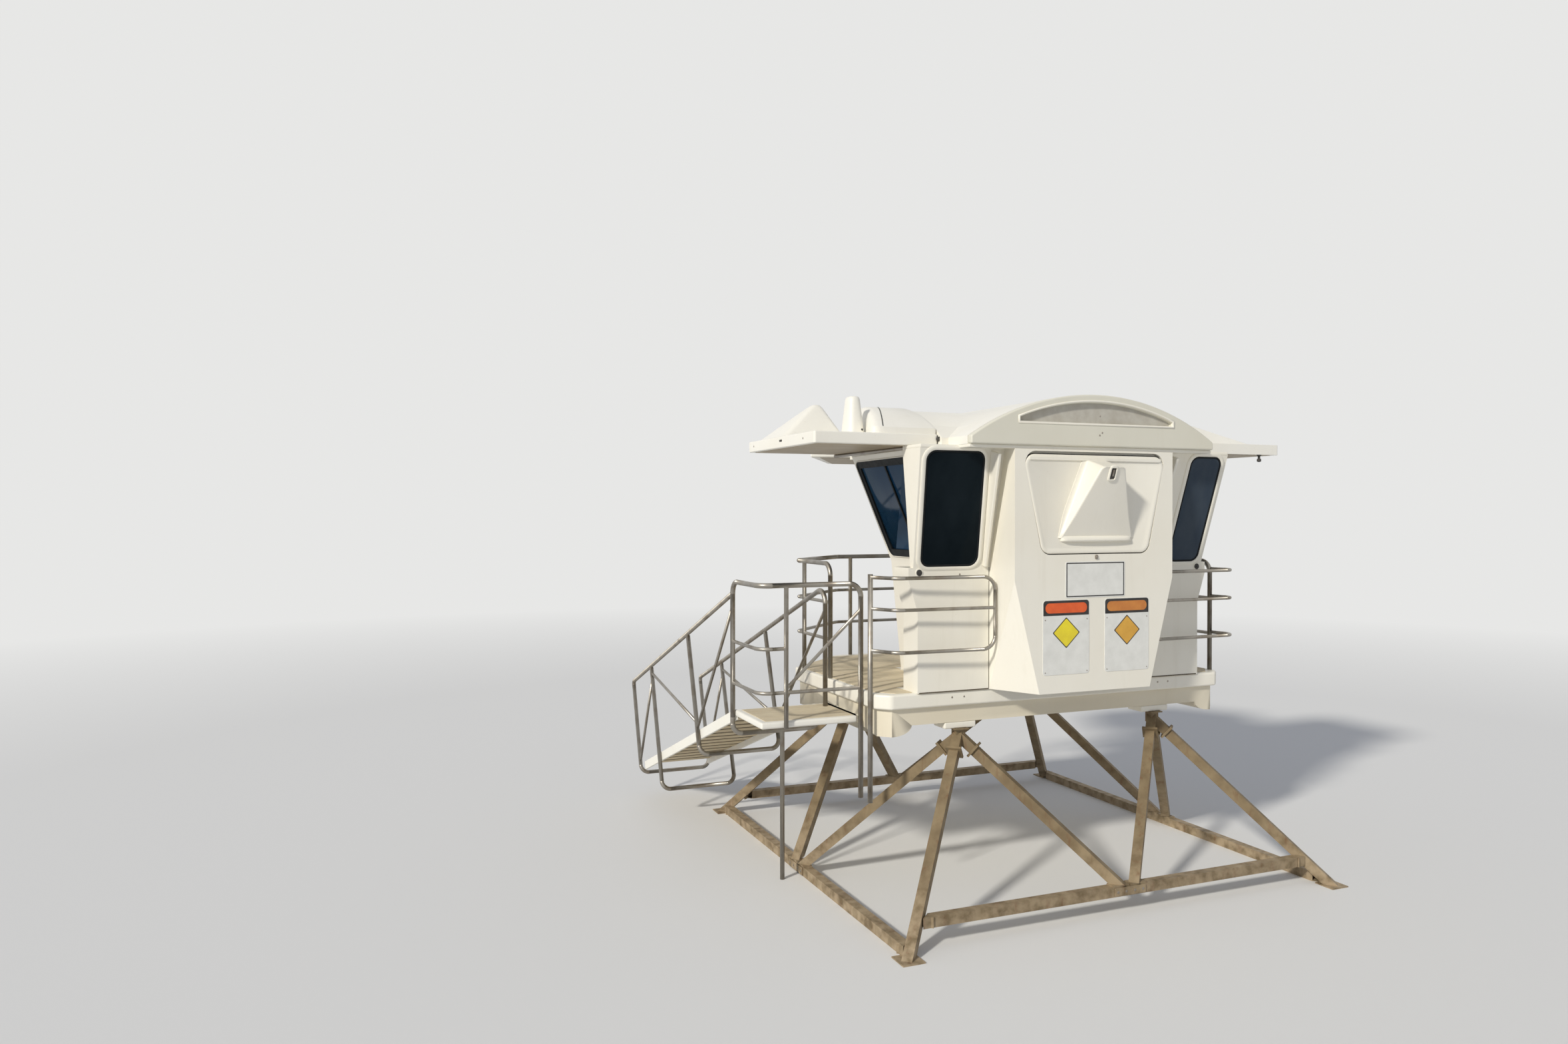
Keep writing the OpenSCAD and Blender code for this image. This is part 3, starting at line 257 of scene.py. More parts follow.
def tinted(name, colour, smear, through):
    """Tinted pane with salt haze, which lets part of the light through; the colours given to it hold painted shade
    and painted reflections.
    """
    n = paint(name)
    haze = n.ramp(n.noise(2.4, 6, (1, 1, 0.5)), 0.40, 0.78)
    shade = n.blend(n.math("MULTIPLY", haze, 0.6), colour, smear)
    return n.finish(shade, n.ramp(n.noise(5, 5), 0.35, 0.75, 0.03, 0.16), (),
                    IOR=1.25, Specular_IOR_Level=0.12, Transmission_Weight=through)


CREAM = gelcoat("gelcoat_body", (0.87, 0.84, 0.745), (0.83, 0.785, 0.67), (0.50, 0.42, 0.29))
WHITE = gelcoat("gelcoat_roof", (0.88, 0.86, 0.79), (0.84, 0.81, 0.71), (0.54, 0.47, 0.35), 0.36)
# The hull's tan base is painted shade under the deck slab, warmed as by light bounced off sand.
HULL_SHADED = gelcoat("gelcoat_hull", (0.76, 0.70, 0.56), (0.70, 0.62, 0.46), (0.42, 0.33, 0.20), 0.4)
# Dark tan for the awnings' undersides: painted shade.
UNDERSIDE_SHADE = gelcoat("gelcoat_under", (0.40, 0.33, 0.22), (0.33, 0.26, 0.16), (0.20, 0.14, 0.08), 0.5)
# The fascias' darker gelcoat is painted shade.
FASCIA = gelcoat("gelcoat_fascia", (0.72, 0.70, 0.60), (0.66, 0.63, 0.52), (0.42, 0.36, 0.25), 0.36)
STEEL = painted_steel("leg_coating", (0.172, 0.124, 0.066), (0.262, 0.198, 0.112), (0.150, 0.062, 0.024))
INOX = stainless("stainless_tube", (0.36, 0.335, 0.295), (0.17, 0.125, 0.08))
BOLT = stainless("bolt_metal", (0.36, 0.33, 0.29), (0.16, 0.10, 0.06), (0.35, 0.6))
# The ramp boards are a darker copy of the deck boards; the darker tone is painted shade.
TREAD = boards("ramp_board", (0.56, 0.45, 0.28), (0.70, 0.61, 0.43), (0.33, 0.25, 0.15))
PLANK = boards("deck_board", (0.60, 0.50, 0.34), (0.74, 0.66, 0.49), (0.38, 0.30, 0.19))
# Panes: the left rear pane's near-black is painted shade, the right rear pane's blue-grey is a painted reflection,
# and the blue of the side and front panes is a painted reflection of the sea.
GLASS = tinted("rear_pane_tint", (0.004, 0.008, 0.011), (0.016, 0.024, 0.030), 0.05)
SEA_REFLECTION_GLASS = tinted("side_pane_tint", (0.010, 0.048, 0.112), (0.040, 0.088, 0.140), 0.08)
RIGHT_GLASS = tinted("right_pane_tint", (0.042, 0.060, 0.086), (0.105, 0.122, 0.135), 0.05)
RUBBER = plain("black_rubber", (0.007, 0.009, 0.011), (0.014, 0.016, 0.017), 0.45, Specular_IOR_Level=0.12)
# Dark plastic for plugs, knobs, latches and the vent, and painted shade along the ramp's treads.
DARK = plain("dark_plastic", (0.030, 0.028, 0.026), (0.055, 0.050, 0.044), 0.5)
# Brown for the strips in the wall corners and the bars under the ramp's gaps: painted shade.
BROWN = plain("brown_rubber", (0.060, 0.046, 0.030), (0.105, 0.080, 0.052), 0.7, Specular_IOR_Level=0.2)
# Grey for the back of the fascia slots: painted shade.
SLOT_SHADE = plain("grey_liner", (0.52, 0.50, 0.44), (0.44, 0.41, 0.35), 0.5)
SIGN_WHITE = plain("plate_white", (0.80, 0.80, 0.76), (0.72, 0.72, 0.68), 0.3)
SIGN_BLACK = plain("plate_black", (0.014, 0.013, 0.013), (0.035, 0.032, 0.030), 0.35)
SIGN_ORANGE = plain("plate_orange", (0.80, 0.13, 0.025), (0.68, 0.10, 0.022), 0.35)
SIGN_BROWN = plain("plate_tan_orange", (0.62, 0.24, 0.05), (0.52, 0.18, 0.04), 0.4)
SIGN_YELLOW = plain("plate_yellow", (0.86, 0.72, 0.03), (0.76, 0.61, 0.03), 0.35)
SIGN_AMBER = plain("plate_amber", (0.72, 0.40, 0.06), (0.62, 0.33, 0.05), 0.4)


# Making pieces

def settle(name, bm, material, bevel=0.0, segments=2, sharp=35, replaces=()):
    """Turns a bmesh in frame metres into a piece that rides on the tower."""
    bmesh.ops.recalc_face_normals(bm, faces=bm.faces)
    mesh = bpy.data.meshes.new(name)
    bm.to_mesh(mesh)
    bm.free()
    mesh.shade_smooth()
    mesh.set_sharp_from_angle(angle=math.radians(180 if bevel else sharp))
    mesh.materials.append(material)
    piece = bpy.data.objects.new(name, mesh)
    bpy.context.scene.collection.objects.link(piece)
    if bevel:
        mod = piece.modifiers.new("round", "BEVEL")
        mod.width = bevel * MM
        mod.segments = segments
        mod.limit_method = "ANGLE"
        mod.angle_limit = math.radians(sharp)
        mod.use_clamp_overlap = True
        piece.modifiers.new("even", "WEIGHTED_NORMAL").keep_sharp = True
    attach(piece, "root")
    if replaces:
        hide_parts(*replaces)
    return piece


def dress(node, material, bevel=0.0, segments=2, sharp=35):
    """A copy of a node's mesh; with a bevel its flat faces are made whole and its edges rounded."""
    bm = bmesh.new()
    bm.from_mesh(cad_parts[node].data)
    bmesh.ops.remove_doubles(bm, verts=bm.verts, dist=3e-5)
    if bevel:
        bmesh.ops.dissolve_limit(bm, angle_limit=math.radians(0.7), verts=bm.verts, edges=bm.edges)
    return settle(node + "_skin", bm, material, bevel, segments, sharp, (node,))


def sheet_of(loops, closed=False, into=None):
    """Loops of equal length joined in order, capped at both ends or closed on themselves, in frame metres."""
    bm = into or bmesh.new()
    rings = [[bm.verts.new(row(p)) for p in loop] for loop in loops]
    count = len(rings[0])
    spans = list(zip(rings, rings[1:])) + ([(rings[-1], rings[0])] if closed else [])
    for a, b in spans:
        for i in range(count):
            j = (i + 1) % count
            bm.faces.new((a[i], a[j], b[j], b[i]))
    if not closed:
        bm.faces.new(rings[0][::-1])
        bm.faces.new(rings[-1])
    return bm


def rect(x1, y1, x2, y2):
    """Outline of a rectangle, anticlockwise."""
    return [(x1, y1), (x2, y1), (x2, y2), (x1, y2)]


def tapered(half1, y1, half2, y2):
    """Outline of a symmetric plate that is half1 wide to each side at y1 and half2 at y2."""
    return [(-half1, y1), (half1, y1), (half2, y2), (-half2, y2)]


def offset(outline, d):
    """A convex outline, anticlockwise, with each side moved out by d."""
    n = len(outline)
    lines = []
    for i in range(n):
        a, b = Vector(outline[i]), Vector(outline[(i + 1) % n])
        t = (b - a).normalized()
        lines.append((a + Vector((t.y, -t.x)) * d, t))
    points = []
    for i in range(n):
        (p, s), (q, t) = lines[i - 1], lines[i]
        cross = s.x * t.y - s.y * t.x
        points.append(p + s * (((q - p).x * t.y - (q - p).y * t.x) / cross))
    return points


def rounded(outline, r, steps=6):
    """The outline with its corners rounded to radius r."""
    n = len(outline)
    radii = r if isinstance(r, (list, tuple)) else [r] * n
    points = []
    for i in range(n):
        a, p, b = (Vector(outline[k % n]) for k in (i - 1, i, i + 1))
        d1, d2 = (a - p).normalized(), (b - p).normalized()
        half = d1.angle(d2) / 2
        centre = p + (d1 + d2).normalized() * (radii[i] / math.sin(half))
        v = p + d1 * (radii[i] / math.tan(half)) - centre
        sweep = (math.pi - 2 * half) * (1 if d1.x * d2.y - d1.y * d2.x < 0 else -1)
        for k in range(steps + 1):
            t = sweep * k / steps
            points.append(centre + Vector((v.x * math.cos(t) - v.y * math.sin(t),
                                           v.x * math.sin(t) + v.y * math.cos(t))))
    return points


def face(a, b, c):
    """The plane through three points: X from a to b, Z outwards."""
    a, b, c = Vector(a), Vector(b), Vector(c)
    x = (b - a).normalized()
    n = x.cross(c - a).normalized()
    y = n.cross(x)
    return Matrix(((x.x, y.x, n.x, a.x), (x.y, y.y, n.y, a.y), (x.z, y.z, n.z, a.z), (0, 0, 0, 1)))


def upright(y, facing=1):
    """The plane that stands at depth y and faces the rear, or the front where facing is -1."""
    return face((0, y, 0), (facing, y, 0), (0, y, 1))


REAR = upright(-BAY_Y)
GROUND = Matrix()
UP, TO_REAR, TO_FRONT, TO_LEFT = Vector((0, 0, 1)), (0, -1, 0), (0, 1, 0), (-1, 0, 0)


def lay(plane, outline, z, flip=False):
    """An outline on a plane at height z over it, mirrored across the tower or not."""
    points = [plane @ Vector((p[0], p[1], z)) for p in outline]
    return [Vector((-p.x, p.y, p.z)) for p in points] if flip else points


def slab(name, plane, outline, z1, z2, material, bevel=0.0, flip=False, segments=2, replaces=()):
    """A flat plate on a plane, from height z1 to z2."""
    bm = sheet_of([lay(plane, outline, z, flip) for z in (z1, z2)])
    return settle(name, bm, material, bevel, segments, replaces=replaces)


def moulding(name, plane, outline, r, profile, material, flip=False, steps=8):
    """A strip round an outline; the profile is a list of (offset, height) pairs."""
    loops = [lay(plane, rounded(offset(outline, d), max(2, r + d), steps), h, flip) for d, h in profile]
    return settle(name, sheet_of(loops, closed=True), material, sharp=50)


def turned(bm, centre, axis, profile, sides=20):
    """Adds a turned shape; the profile is a list of (radius, distance along the axis)."""
    axis = Vector(axis).normalized()
    u = axis.orthogonal().normalized()
    v = axis.cross(u)
    loops = []
    for r, h in profile:
        loops.append([Vector(centre) + axis * h
                      + (u * math.cos(2 * math.pi * k / sides) + v * math.sin(2 * math.pi * k / sides)) * r
                      for k in range(sides)])
    sheet_of(loops, into=bm)


def studs(name, places, size):
    """Round screw heads; each place comes with its own axis."""
    bm = bmesh.new()
    for p, axis in places:
        turned(bm, p, axis, [(size, -1.5), (size, 1.2), (size * 0.8, 2.6), (size * 0.35, 3.4)], 16)
    return settle(name, bm, BOLT, sharp=50)


def arc_radius(half, rise):
    """Radius of an arch that rises so far over half its span."""
    return (half ** 2 + rise ** 2) / (2 * rise)


# Base frame and deck
BEAMS = {"rear_beam": (1, -1), "front_beam": (1, 1), "left_beam": (0, -1), "right_beam": (0, 1)}
for name in (*BEAMS, "rear_left_leg", "rear_right_leg", "front_left_leg", "front_right_leg", "rear_braces",
             "front_braces", "left_braces", "right_braces", "leg_heads"):
    dress(name, STEEL, sharp=4)

# Bolted plates where the braces meet the middle of each beam
PLATE_HALF, PLATE_LOW, PLATE_T = 150, 34, 7
plate_bolts = []
for name, (axis, sign) in BEAMS.items():
    lo, hi = (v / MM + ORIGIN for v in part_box(name))
    start = (lo + hi) / 2
    start[axis] += sign * TUBE / 2
    start.z = hi.z - TUBE / 2
    side = Vector((0, sign, 0)) if axis else Vector((sign, 0, 0))
    spot = face(start, start + UP.cross(side), start + UP)
    slab(f"{name}_plate", spot, rounded(rect(-PLATE_HALF, -PLATE_LOW, PLATE_HALF, PLATE_LOW), 10), -1, PLATE_T,
         STEEL, 2)
    plate_bolts += [(spot @ Vector((x, 0, PLATE_T)), side) for x in (-122, -42, 42, 122)]
studs("beam_plate_bolts", plate_bolts, 11)
dress("deck", CREAM, 18, 4, 30)
# The hull wears the painted shade colour.
dress("hull", HULL_SHADED, sharp=30)
dress("leg_pads", CREAM, 12, 3)

# Cabin shell
for name, width in (("rear_bay", 12), ("rear_left_wall", 12), ("rear_right_wall", 12), ("left_wall", 8),
                    ("right_wall", 8), ("front_left_wall", 8), ("front_right_wall", 8), ("front_wall", 8)):
    dress(name, CREAM, width, 3, 30)
dress("ceiling", CREAM, 5)
dress("roof", WHITE, 12, 3, 40)
# The fascias take the darker gelcoat, painted shade.
dress("rear_fascia", FASCIA, 14, 4)
dress("front_fascia", FASCIA, 14, 4)
# The rear panes split at the middle: painted shade on the left, painted reflection on the right.
rear_panes = dress("rear_glass", GLASS)
rear_panes.data.materials.append(RIGHT_GLASS)
for polygon in rear_panes.data.polygons:
    polygon.material_index = int(polygon.center.x > row((0, 0, 0)).x)
# Side and front panes carry the painted reflection of the sea.
dress("side_glass", SEA_REFLECTION_GLASS)
dress("front_glass", SEA_REFLECTION_GLASS)
dress("right_awning", WHITE, 20, 4, 14)
dress("front_awning", WHITE, 12, 3)

# Landing, ramp and rails
dress("landing", WHITE, 18, 4)
dress("ramp_stringers", WHITE, 5)
dress("ramp_treads", TREAD, 5)
for name in ("awning_stays", "landing_frame", "ramp_frames", "ramp_left_rail", "ramp_right_rail",
             "landing_rail", "rear_left_rail", "rear_right_rail", "front_left_rail", "front_right_rail"):
    dress(name, INOX, sharp=40)

# Rear shutter: a flat panel with a hood whose top stands well out
SHUTTER, SHUTTER_R = tapered(532, 2855, 722, 3664), 90
PANEL = ((0, -45), (0, -6), (-3, -1), (-8, 1), (-28, 1), (-40, -4))
settle("shutter_panel", sheet_of([lay(REAR, rounded(offset(SHUTTER, d), SHUTTER_R + d), z) for d, z in PANEL]),
       CREAM, sharp=50)

# The hood at its foot and at its top: half widths on the panel and at the face, and how far the face stands out
HOOD_FOOT, HOOD_TOP = 2990, 3562
FOOT_SECTION, TOP_SECTION = (372, 350, 12), (122, 116, 228)
HOOD_SOLE = ((26, 1.5), (12, 5), (2, 11), (-5, 19))
HOOD_LEVELS = (HOOD_FOOT - 8, HOOD_FOOT, 3030, 3090, 3160, 3240, 3320, 3400, 3480, 3540)
HOOD_CROWN = ((HOOD_TOP, 0.995, 1, -0.05), (3592, 0.97, 4, -0.155), (3612, 0.92, 8, -0.235),
              (3619, 0.60, 11, -0.25), (3623, 0.08, 16, -0.25))


def hood_loop(z, out=1.0, tight=0.0, drop=0.0):
    """Outline of the hood at height z: a soft sole on the panel, a round edge, the face and back again.

    out scales how far it stands out, tight narrows its face, and drop lowers it the further out it stands.
    """
    t = (z - HOOD_FOOT) / (HOOD_TOP - HOOD_FOOT)
    base, top, depth = (a + (b - a) * t for a, b in zip(FOOT_SECTION, TOP_SECTION))
    depth *= out
    top = max(40, top - tight)
    soft = min(1.0, depth / 90)
    corner = Vector((top, depth))
    run = (corner - Vector((base, 0))).normalized()
    half = [Vector((base + 46 * soft, -9)), Vector((base + 46 * soft, 0))]
    half += [Vector((base + w * soft, h * soft)) for w, h in HOOD_SOLE]
    r = min(22, 0.3 * depth)
    a, b = corner - run * r, corner + Vector((-1, 0)) * r
    for k in range(7):
        s = k / 6
        half.append(a * (1 - s) ** 2 + corner * 2 * s * (1 - s) + b * s ** 2)
    outline = half + [Vector((-p.x, p.y)) for p in reversed(half)]
    return [Vector((p.x, -BAY_Y - p.y, z + drop * max(0, p.y))) for p in outline]


loops = [hood_loop(z) for z in HOOD_LEVELS] + [hood_loop(*level) for level in HOOD_CROWN]
settle("shutter_hood", sheet_of(loops), CREAM, sharp=70, replaces=("rear_shutter",))

# Rolled lip under the hood, thickest in the middle
LIP_HALF, LIP_Z = 356, 2962
lip = []
for k in range(25):
    t = -1 + k / 12
    swell = math.sqrt(max(0.0, 1 - t * t)) ** 0.5
    section = [(-10, 40), (10, 40), (20 * swell + 6, 30), (31 * swell + 5, 14), (34 * swell + 4, 2),
               (31 * swell + 3, -6), (22 * swell + 2, -9 * swell - 2), (0, -11 * swell - 2), (-10, -11 * swell - 2)]
    lip.append([Vector((LIP_HALF * t, -BAY_Y - d, LIP_Z + h)) for d, h in section])
settle("hood_lip", sheet_of(lip), CREAM, sharp=60)

slab("shutter_brow", REAR, rounded(tapered(662, 3616, 672, 3646), 12), -3, 9, CREAM, 5, segments=3)

# Latch recess near the top of the hood, with its keeper; its outlines are measured up the hood's face
foot_y, top_y = -BAY_Y - FOOT_SECTION[2], -BAY_Y - TOP_SECTION[2]
latch = face((0, foot_y, HOOD_FOOT), (1, foot_y, HOOD_FOOT), (0, top_y, HOOD_TOP))
slab("latch_recess", latch, rounded(rect(-22, 506, 22, 600), 9), -3, 2.5, DARK, 1)
moulding("latch_lip", latch, rect(-24, 504, 24, 602), 10,
         [(20, -2), (20, 4), (15, 9), (3, 9), (0, 2), (0, -2)], CREAM)
slab("latch_bar", latch, rounded(rect(-7, 530, 7, 586), 6), 2, 9, BOLT, 2)
moulding("shutter_seal", REAR, SHUTTER, SHUTTER_R, [(7, -30), (7, -12), (0.5, -12), (0.5, -30)], RUBBER)
slab("shutter_catch", REAR, rounded(rect(-13, 2805, 13, 2842), 8), -1, 9, BOLT, 2)
knob = bmesh.new()
turned(knob, (0, -BAY_Y - 8, 2823), TO_REAR, [(9, 0), (9, 5), (6, 8)], 16)
settle("shutter_catch_knob", knob, BOLT, sharp=40)

# The leaning planes of the windows, each with its width and its height along the slope
rear_plane = face((BAY_ROOT, -REAR_Y, SILL_Z), (PANE_HALF, -REAR_Y, SILL_Z),
                  (BAY_ROOT, -REAR_Y - REAR_LEAN, WALL_TOP))
rear_w = PANE_HALF - BAY_ROOT
rear_h = math.hypot(REAR_LEAN, WALL_TOP - SILL_Z)
side_a = Vector((SIDE_HALF + SIDE_SPLAY, -REAR_Y + WALL_T, SILL_Z))
side_b = Vector((SIDE_HALF, SIDE_FRONT, SILL_Z))
lean = Vector((SIDE_LEAN, 0, WALL_TOP - SILL_Z))
side_plane = face(side_a, side_b, side_a + lean)
side_w = (side_b - side_a).length
side_h = lean.length
diag_b = Vector((FRONT_HALF, FRONT_Y, SILL_Z))
diag_plane = face(side_b, diag_b, side_b + lean)
diag_w = (diag_b - side_b).length
diag_reach = (FRONT_Y + FRONT_LEAN - SIDE_FRONT) / (FRONT_Y - SIDE_FRONT)
diag_top = Vector((SIDE_HALF + SIDE_LEAN + (FRONT_HALF - SIDE_HALF) * diag_reach, FRONT_Y + FRONT_LEAN, WALL_TOP))
to_diag = diag_plane.inverted()
top_a, top_b = to_diag @ (side_b + lean), to_diag @ diag_top

# Profiles round the openings, as offset and height: raised beads, gaskets, a wide black border and a thin lip
BEAD = [(42, -3), (42, 4), (36, 9), (8, 9), (1, 3), (1, -3)]
THIN_BEAD = [(13, -3), (13, 4), (9, 8), (5, 8), (1, 3), (1, -3)]
GASKET = [(4, 1), (4, 5), (0, 8), (-9, 7), (-15, 1), (-16, -13), (1, -13), (1, 1)]
BORDER = [(4, 1), (4, 5), (0, 8), (-9, 7), (-13, 3), (-60, 2), (-62, -2), (-62, -13), (1, -13), (1, 1)]
LIP = [(4, 1), (4, 6), (0, 9), (-8, 8), (-13, 3), (-13, 1)]

# Outlines of the openings, on their planes; the right rear window starts past a wide stile
RIGHT_STILE = STILE + 195
REAR_R, SIDE_R = 78, 60
DIAG_SASH = 1.3 * SASH
SIDE_HOLE = rect(18, SASH, side_w - SASH, side_h - SASH)
DIAG_HOLE = [(SASH, SASH), (diag_w - SASH, SASH), (top_b.x - DIAG_SASH, top_b.y - SASH),
             (top_a.x + DIAG_SASH, top_a.y - SASH)]


def leaning(x1, x2, low, high):
    """Outline on the rear wall's plane from x1 to x2 at its foot, leaning out with the window's side."""
    return [(x1, low), (x2, low), (x2 + REAR_FLARE, high), (x1 + REAR_FLARE, high)]


rear_top = rear_h - SASH / 2
slab("right_rear_stile", rear_plane, leaning(STILE - 6, RIGHT_STILE, SASH - 6, rear_top + 2), -14, 0.6, CREAM)
# The left rear pane is painted shade and the right one a painted reflection.
for side, inner, tint in (("left", STILE, GLASS), ("right", RIGHT_STILE, RIGHT_GLASS)):
    flip = side == "left"
    pane = leaning(inner, rear_w - SASH, SASH - 50, rear_top + 8)
    slab(f"{side}_rear_pane", rear_plane, rounded(pane, REAR_R), 0.6, 3, tint, flip=flip)
    for kind, plane, hole, r, bead, seal in (("rear", rear_plane, pane, REAR_R, BEAD, LIP),
                                             ("side", side_plane, SIDE_HOLE, SIDE_R, THIN_BEAD, BORDER),
                                             ("corner", diag_plane, DIAG_HOLE, SIDE_R, BEAD, GASKET)):
        moulding(f"{side}_{kind}_bead", plane, hole, r, bead, CREAM, flip)
        moulding(f"{side}_{kind}_gasket", plane, hole, r, seal, RUBBER, flip)
    rib = []
    for y, x, stands in ((6, 42, 44), (rear_h - 14, 42 + REAR_FLARE, 122)):
        section = [rear_plane @ Vector(p) for p in ((x, y, -3), (x + 30, y, -3), (x + 30, y, stands), (x, y, stands))]
        rib.append([Vector((-p.x, p.y, p.z)) for p in section] if flip else section)
    settle(f"{side}_rear_rib", sheet_of(rib), CREAM, 9, 3)
    middle = side_w * 0.46
    slab(f"{side}_side_bar", side_plane, rect(middle - 13, SASH + 4, middle + 13, side_h - SASH - 4), -15, -2,
         RUBBER, 3, flip)

# Left awning: its plate, two moulded peaks and a raised root that carries on the vault's arch
slab("left_awning_plate", GROUND, rounded(rect(AWNING_HINGE, -AWNING_REAR, AWNING_END, AWNING_FRONT), 20),
     EAVE_Z, AWNING_TOP, WHITE, 9, flip=True, replaces=("left_awning",))
PEAK_STEPS = [(0, -20), (0.012, -8), (0.035, -2), (0.08, 0)] + [(k / 10, 0) for k in range(2, 10)]
PEAK_STEPS += [(0.955, 3), (0.982, 9), (0.996, 17), (1.0, 26)]


def peak(name, foot, tip, crown):
    """A moulded peak from one rectangle (x1, y1, x2, y2) up to another, soft at its foot and crown."""
    loops = []
    for t, tight in PEAK_STEPS:
        x1, y1, x2, y2 = (a + (b - a) * t for a, b in zip(foot, tip))
        r = min(46, 0.45 * (x2 - x1 - 2 * tight), 0.45 * (y2 - y1 - 2 * tight))
        outline = rounded(rect(x1 + tight, y1 + tight, x2 - tight, y2 - tight), r, 5)
        loops.append(lay(GROUND, outline, AWNING_TOP - 2 + (crown - AWNING_TOP + 2) * t, True))
    settle(name, sheet_of(loops), WHITE, sharp=60)


peak("left_awning_hood", (1715, -330, 2330, 285), (1858, -102, 1942, -18), 4146)
peak("left_awning_fin", (1815, -895, 1965, -690), (1840, -856, 1940, -724), 4147)

# The root stands ROOT_OVER above the vault, and its outer end is slanted by ROOT_SLANT
ROOT_X, ROOT_REACH, ROOT_SLANT, ROOT_OVER = 1297, 375, 0.29, 22
VAULT_MID = (AWNING_FRONT - AWNING_REAR) / 2
VAULT_R = arc_radius((AWNING_FRONT + AWNING_REAR) / 2 + VAULT_OVER, VAULT_Z - EAVE_Z - FASCIA_EDGE)
ROOT = ((0, 0.93, 712), (0.02, 0.98, 714), (0.05, 1, 715), (0.5, 1, 715), (0.8, 1, 713), (0.88, 0.97, 708),
        (0.94, 0.86, 694), (0.975, 0.64, 676), (0.993, 0.33, 660), (1.0, 0.04, 645))


def root_top(y, rise):
    """Height of the root's arch at y from its middle, scaled by rise."""
    z = VAULT_Z - VAULT_R + ROOT_OVER + math.sqrt(VAULT_R ** 2 - y * y)
    return AWNING_TOP + max(0.0, z - AWNING_TOP) * rise


def root_loop(t, rise, half):
    """Section of the root at the share t of its length."""
    arch = [half * k / 12 for k in range(-12, 13)]
    points = [Vector((-ROOT_X - t * (ROOT_REACH - ROOT_SLANT * y), VAULT_MID + y, root_top(y, rise))) for y in arch]
    first, last = (Vector((p.x, p.y, AWNING_TOP - 8)) for p in (points[0], points[-1]))
    return [first, *points, last]


settle("left_awning_root", sheet_of([root_loop(*r) for r in ROOT]), WHITE, sharp=50)

# A dark seam that runs slantwise over the root
SEAM_FROM, SEAM_TO, SEAM_STEPS = (1478, -5), (1773, -702), 18
seam = []
for k in range(SEAM_STEPS + 1):
    x, y = (a + (b - a) * k / SEAM_STEPS for a, b in zip(SEAM_FROM, SEAM_TO))
    share = (x - ROOT_X) / (ROOT_REACH - ROOT_SLANT * y)
    rise = next(r1 + (r2 - r1) * (share - t1) / (t2 - t1)
                for (t1, r1, _), (t2, r2, _) in zip(ROOT, ROOT[1:]) if t1 <= share <= t2)
    z = root_top(y, rise)
    seam.append([Vector((-x - dx, VAULT_MID + y, z + dz)) for dx, dz in rect(-4, -4, 4, 2)])
settle("left_awning_seam", sheet_of(seam), RUBBER)

# Dark tan sheets inside the awnings' rims, painted shade on their undersides, and the seals along their hinges
UNDERSIDE_SHEET = (EAVE_Z - 3, EAVE_Z + 2, UNDERSIDE_SHADE, 1.5)
for side in ("left", "right"):
    flip = side == "left"
    underside_outline = rect(AWNING_HINGE + 184, -AWNING_REAR + 42, AWNING_END - 42, AWNING_FRONT - 41)
    hinge = rect(AWNING_HINGE - 6, -AWNING_REAR + 12, AWNING_HINGE + 2, AWNING_FRONT - 12)
    slab(f"{side}_awning_lining", GROUND, rounded(underside_outline, 24), *UNDERSIDE_SHEET, flip)
    slab(f"{side}_hinge_seal", GROUND, hinge, EAVE_Z - 1, AWNING_TOP - 7, RUBBER, flip=flip)
brow = [(-1150, 772), (1150, 772), (1450, 862), (812, 1978), (-812, 1978), (-1450, 862)]
slab("front_awning_lining", GROUND, rounded(brow, 24), *UNDERSIDE_SHEET)

# Round plugs on the wings, knobs at the hinges and on the fin, the right awning's hanging latch
PLUG_X, PLUG_Z, KNOB_Z = 1442, 2700, 3790
PLUG = [(26, -2), (26, 3.5), (20, 5), (9, 5), (8, 8), (4, 9)]
KNOB = [(15, -4), (15, 6), (19, 8), (19, 20), (14, 24)]
LATCH = [(20, 0), (20, 8), (11, 14), (11, 36), (19, 42), (19, 62), (9, 68)]
plugs, rings, knobs, hanger = bmesh.new(), bmesh.new(), bmesh.new(), bmesh.new()
turned(knobs, (-1850, -880, 3869), TO_REAR, [(10, -8), (10, 8), (6, 11)], 16)
for s in (-1, 1):
    turned(rings, (s * PLUG_X, -REAR_Y, PLUG_Z), TO_REAR, [(36, -2), (36, 3), (32, 5.5), (27, 4)], 28)
    turned(plugs, (s * PLUG_X, -REAR_Y - 3, PLUG_Z), TO_REAR, PLUG, 24)
    turned(knobs, (s * AWNING_HINGE, -AWNING_REAR + 4, KNOB_Z), TO_REAR, KNOB)
    turned(knobs, (s * AWNING_HINGE, AWNING_FRONT - 5, KNOB_Z), TO_FRONT, KNOB)
turned(hanger, (AWNING_END - 210, -AWNING_REAR + 30, EAVE_Z + 2), -UP, LATCH, 16)
settle("wing_plugs", plugs, DARK, sharp=40)
settle("wing_plug_rings", rings, CREAM, sharp=40)
settle("hinge_knobs", knobs, DARK, sharp=40)
settle("right_awning_latch", hanger, DARK, sharp=40)

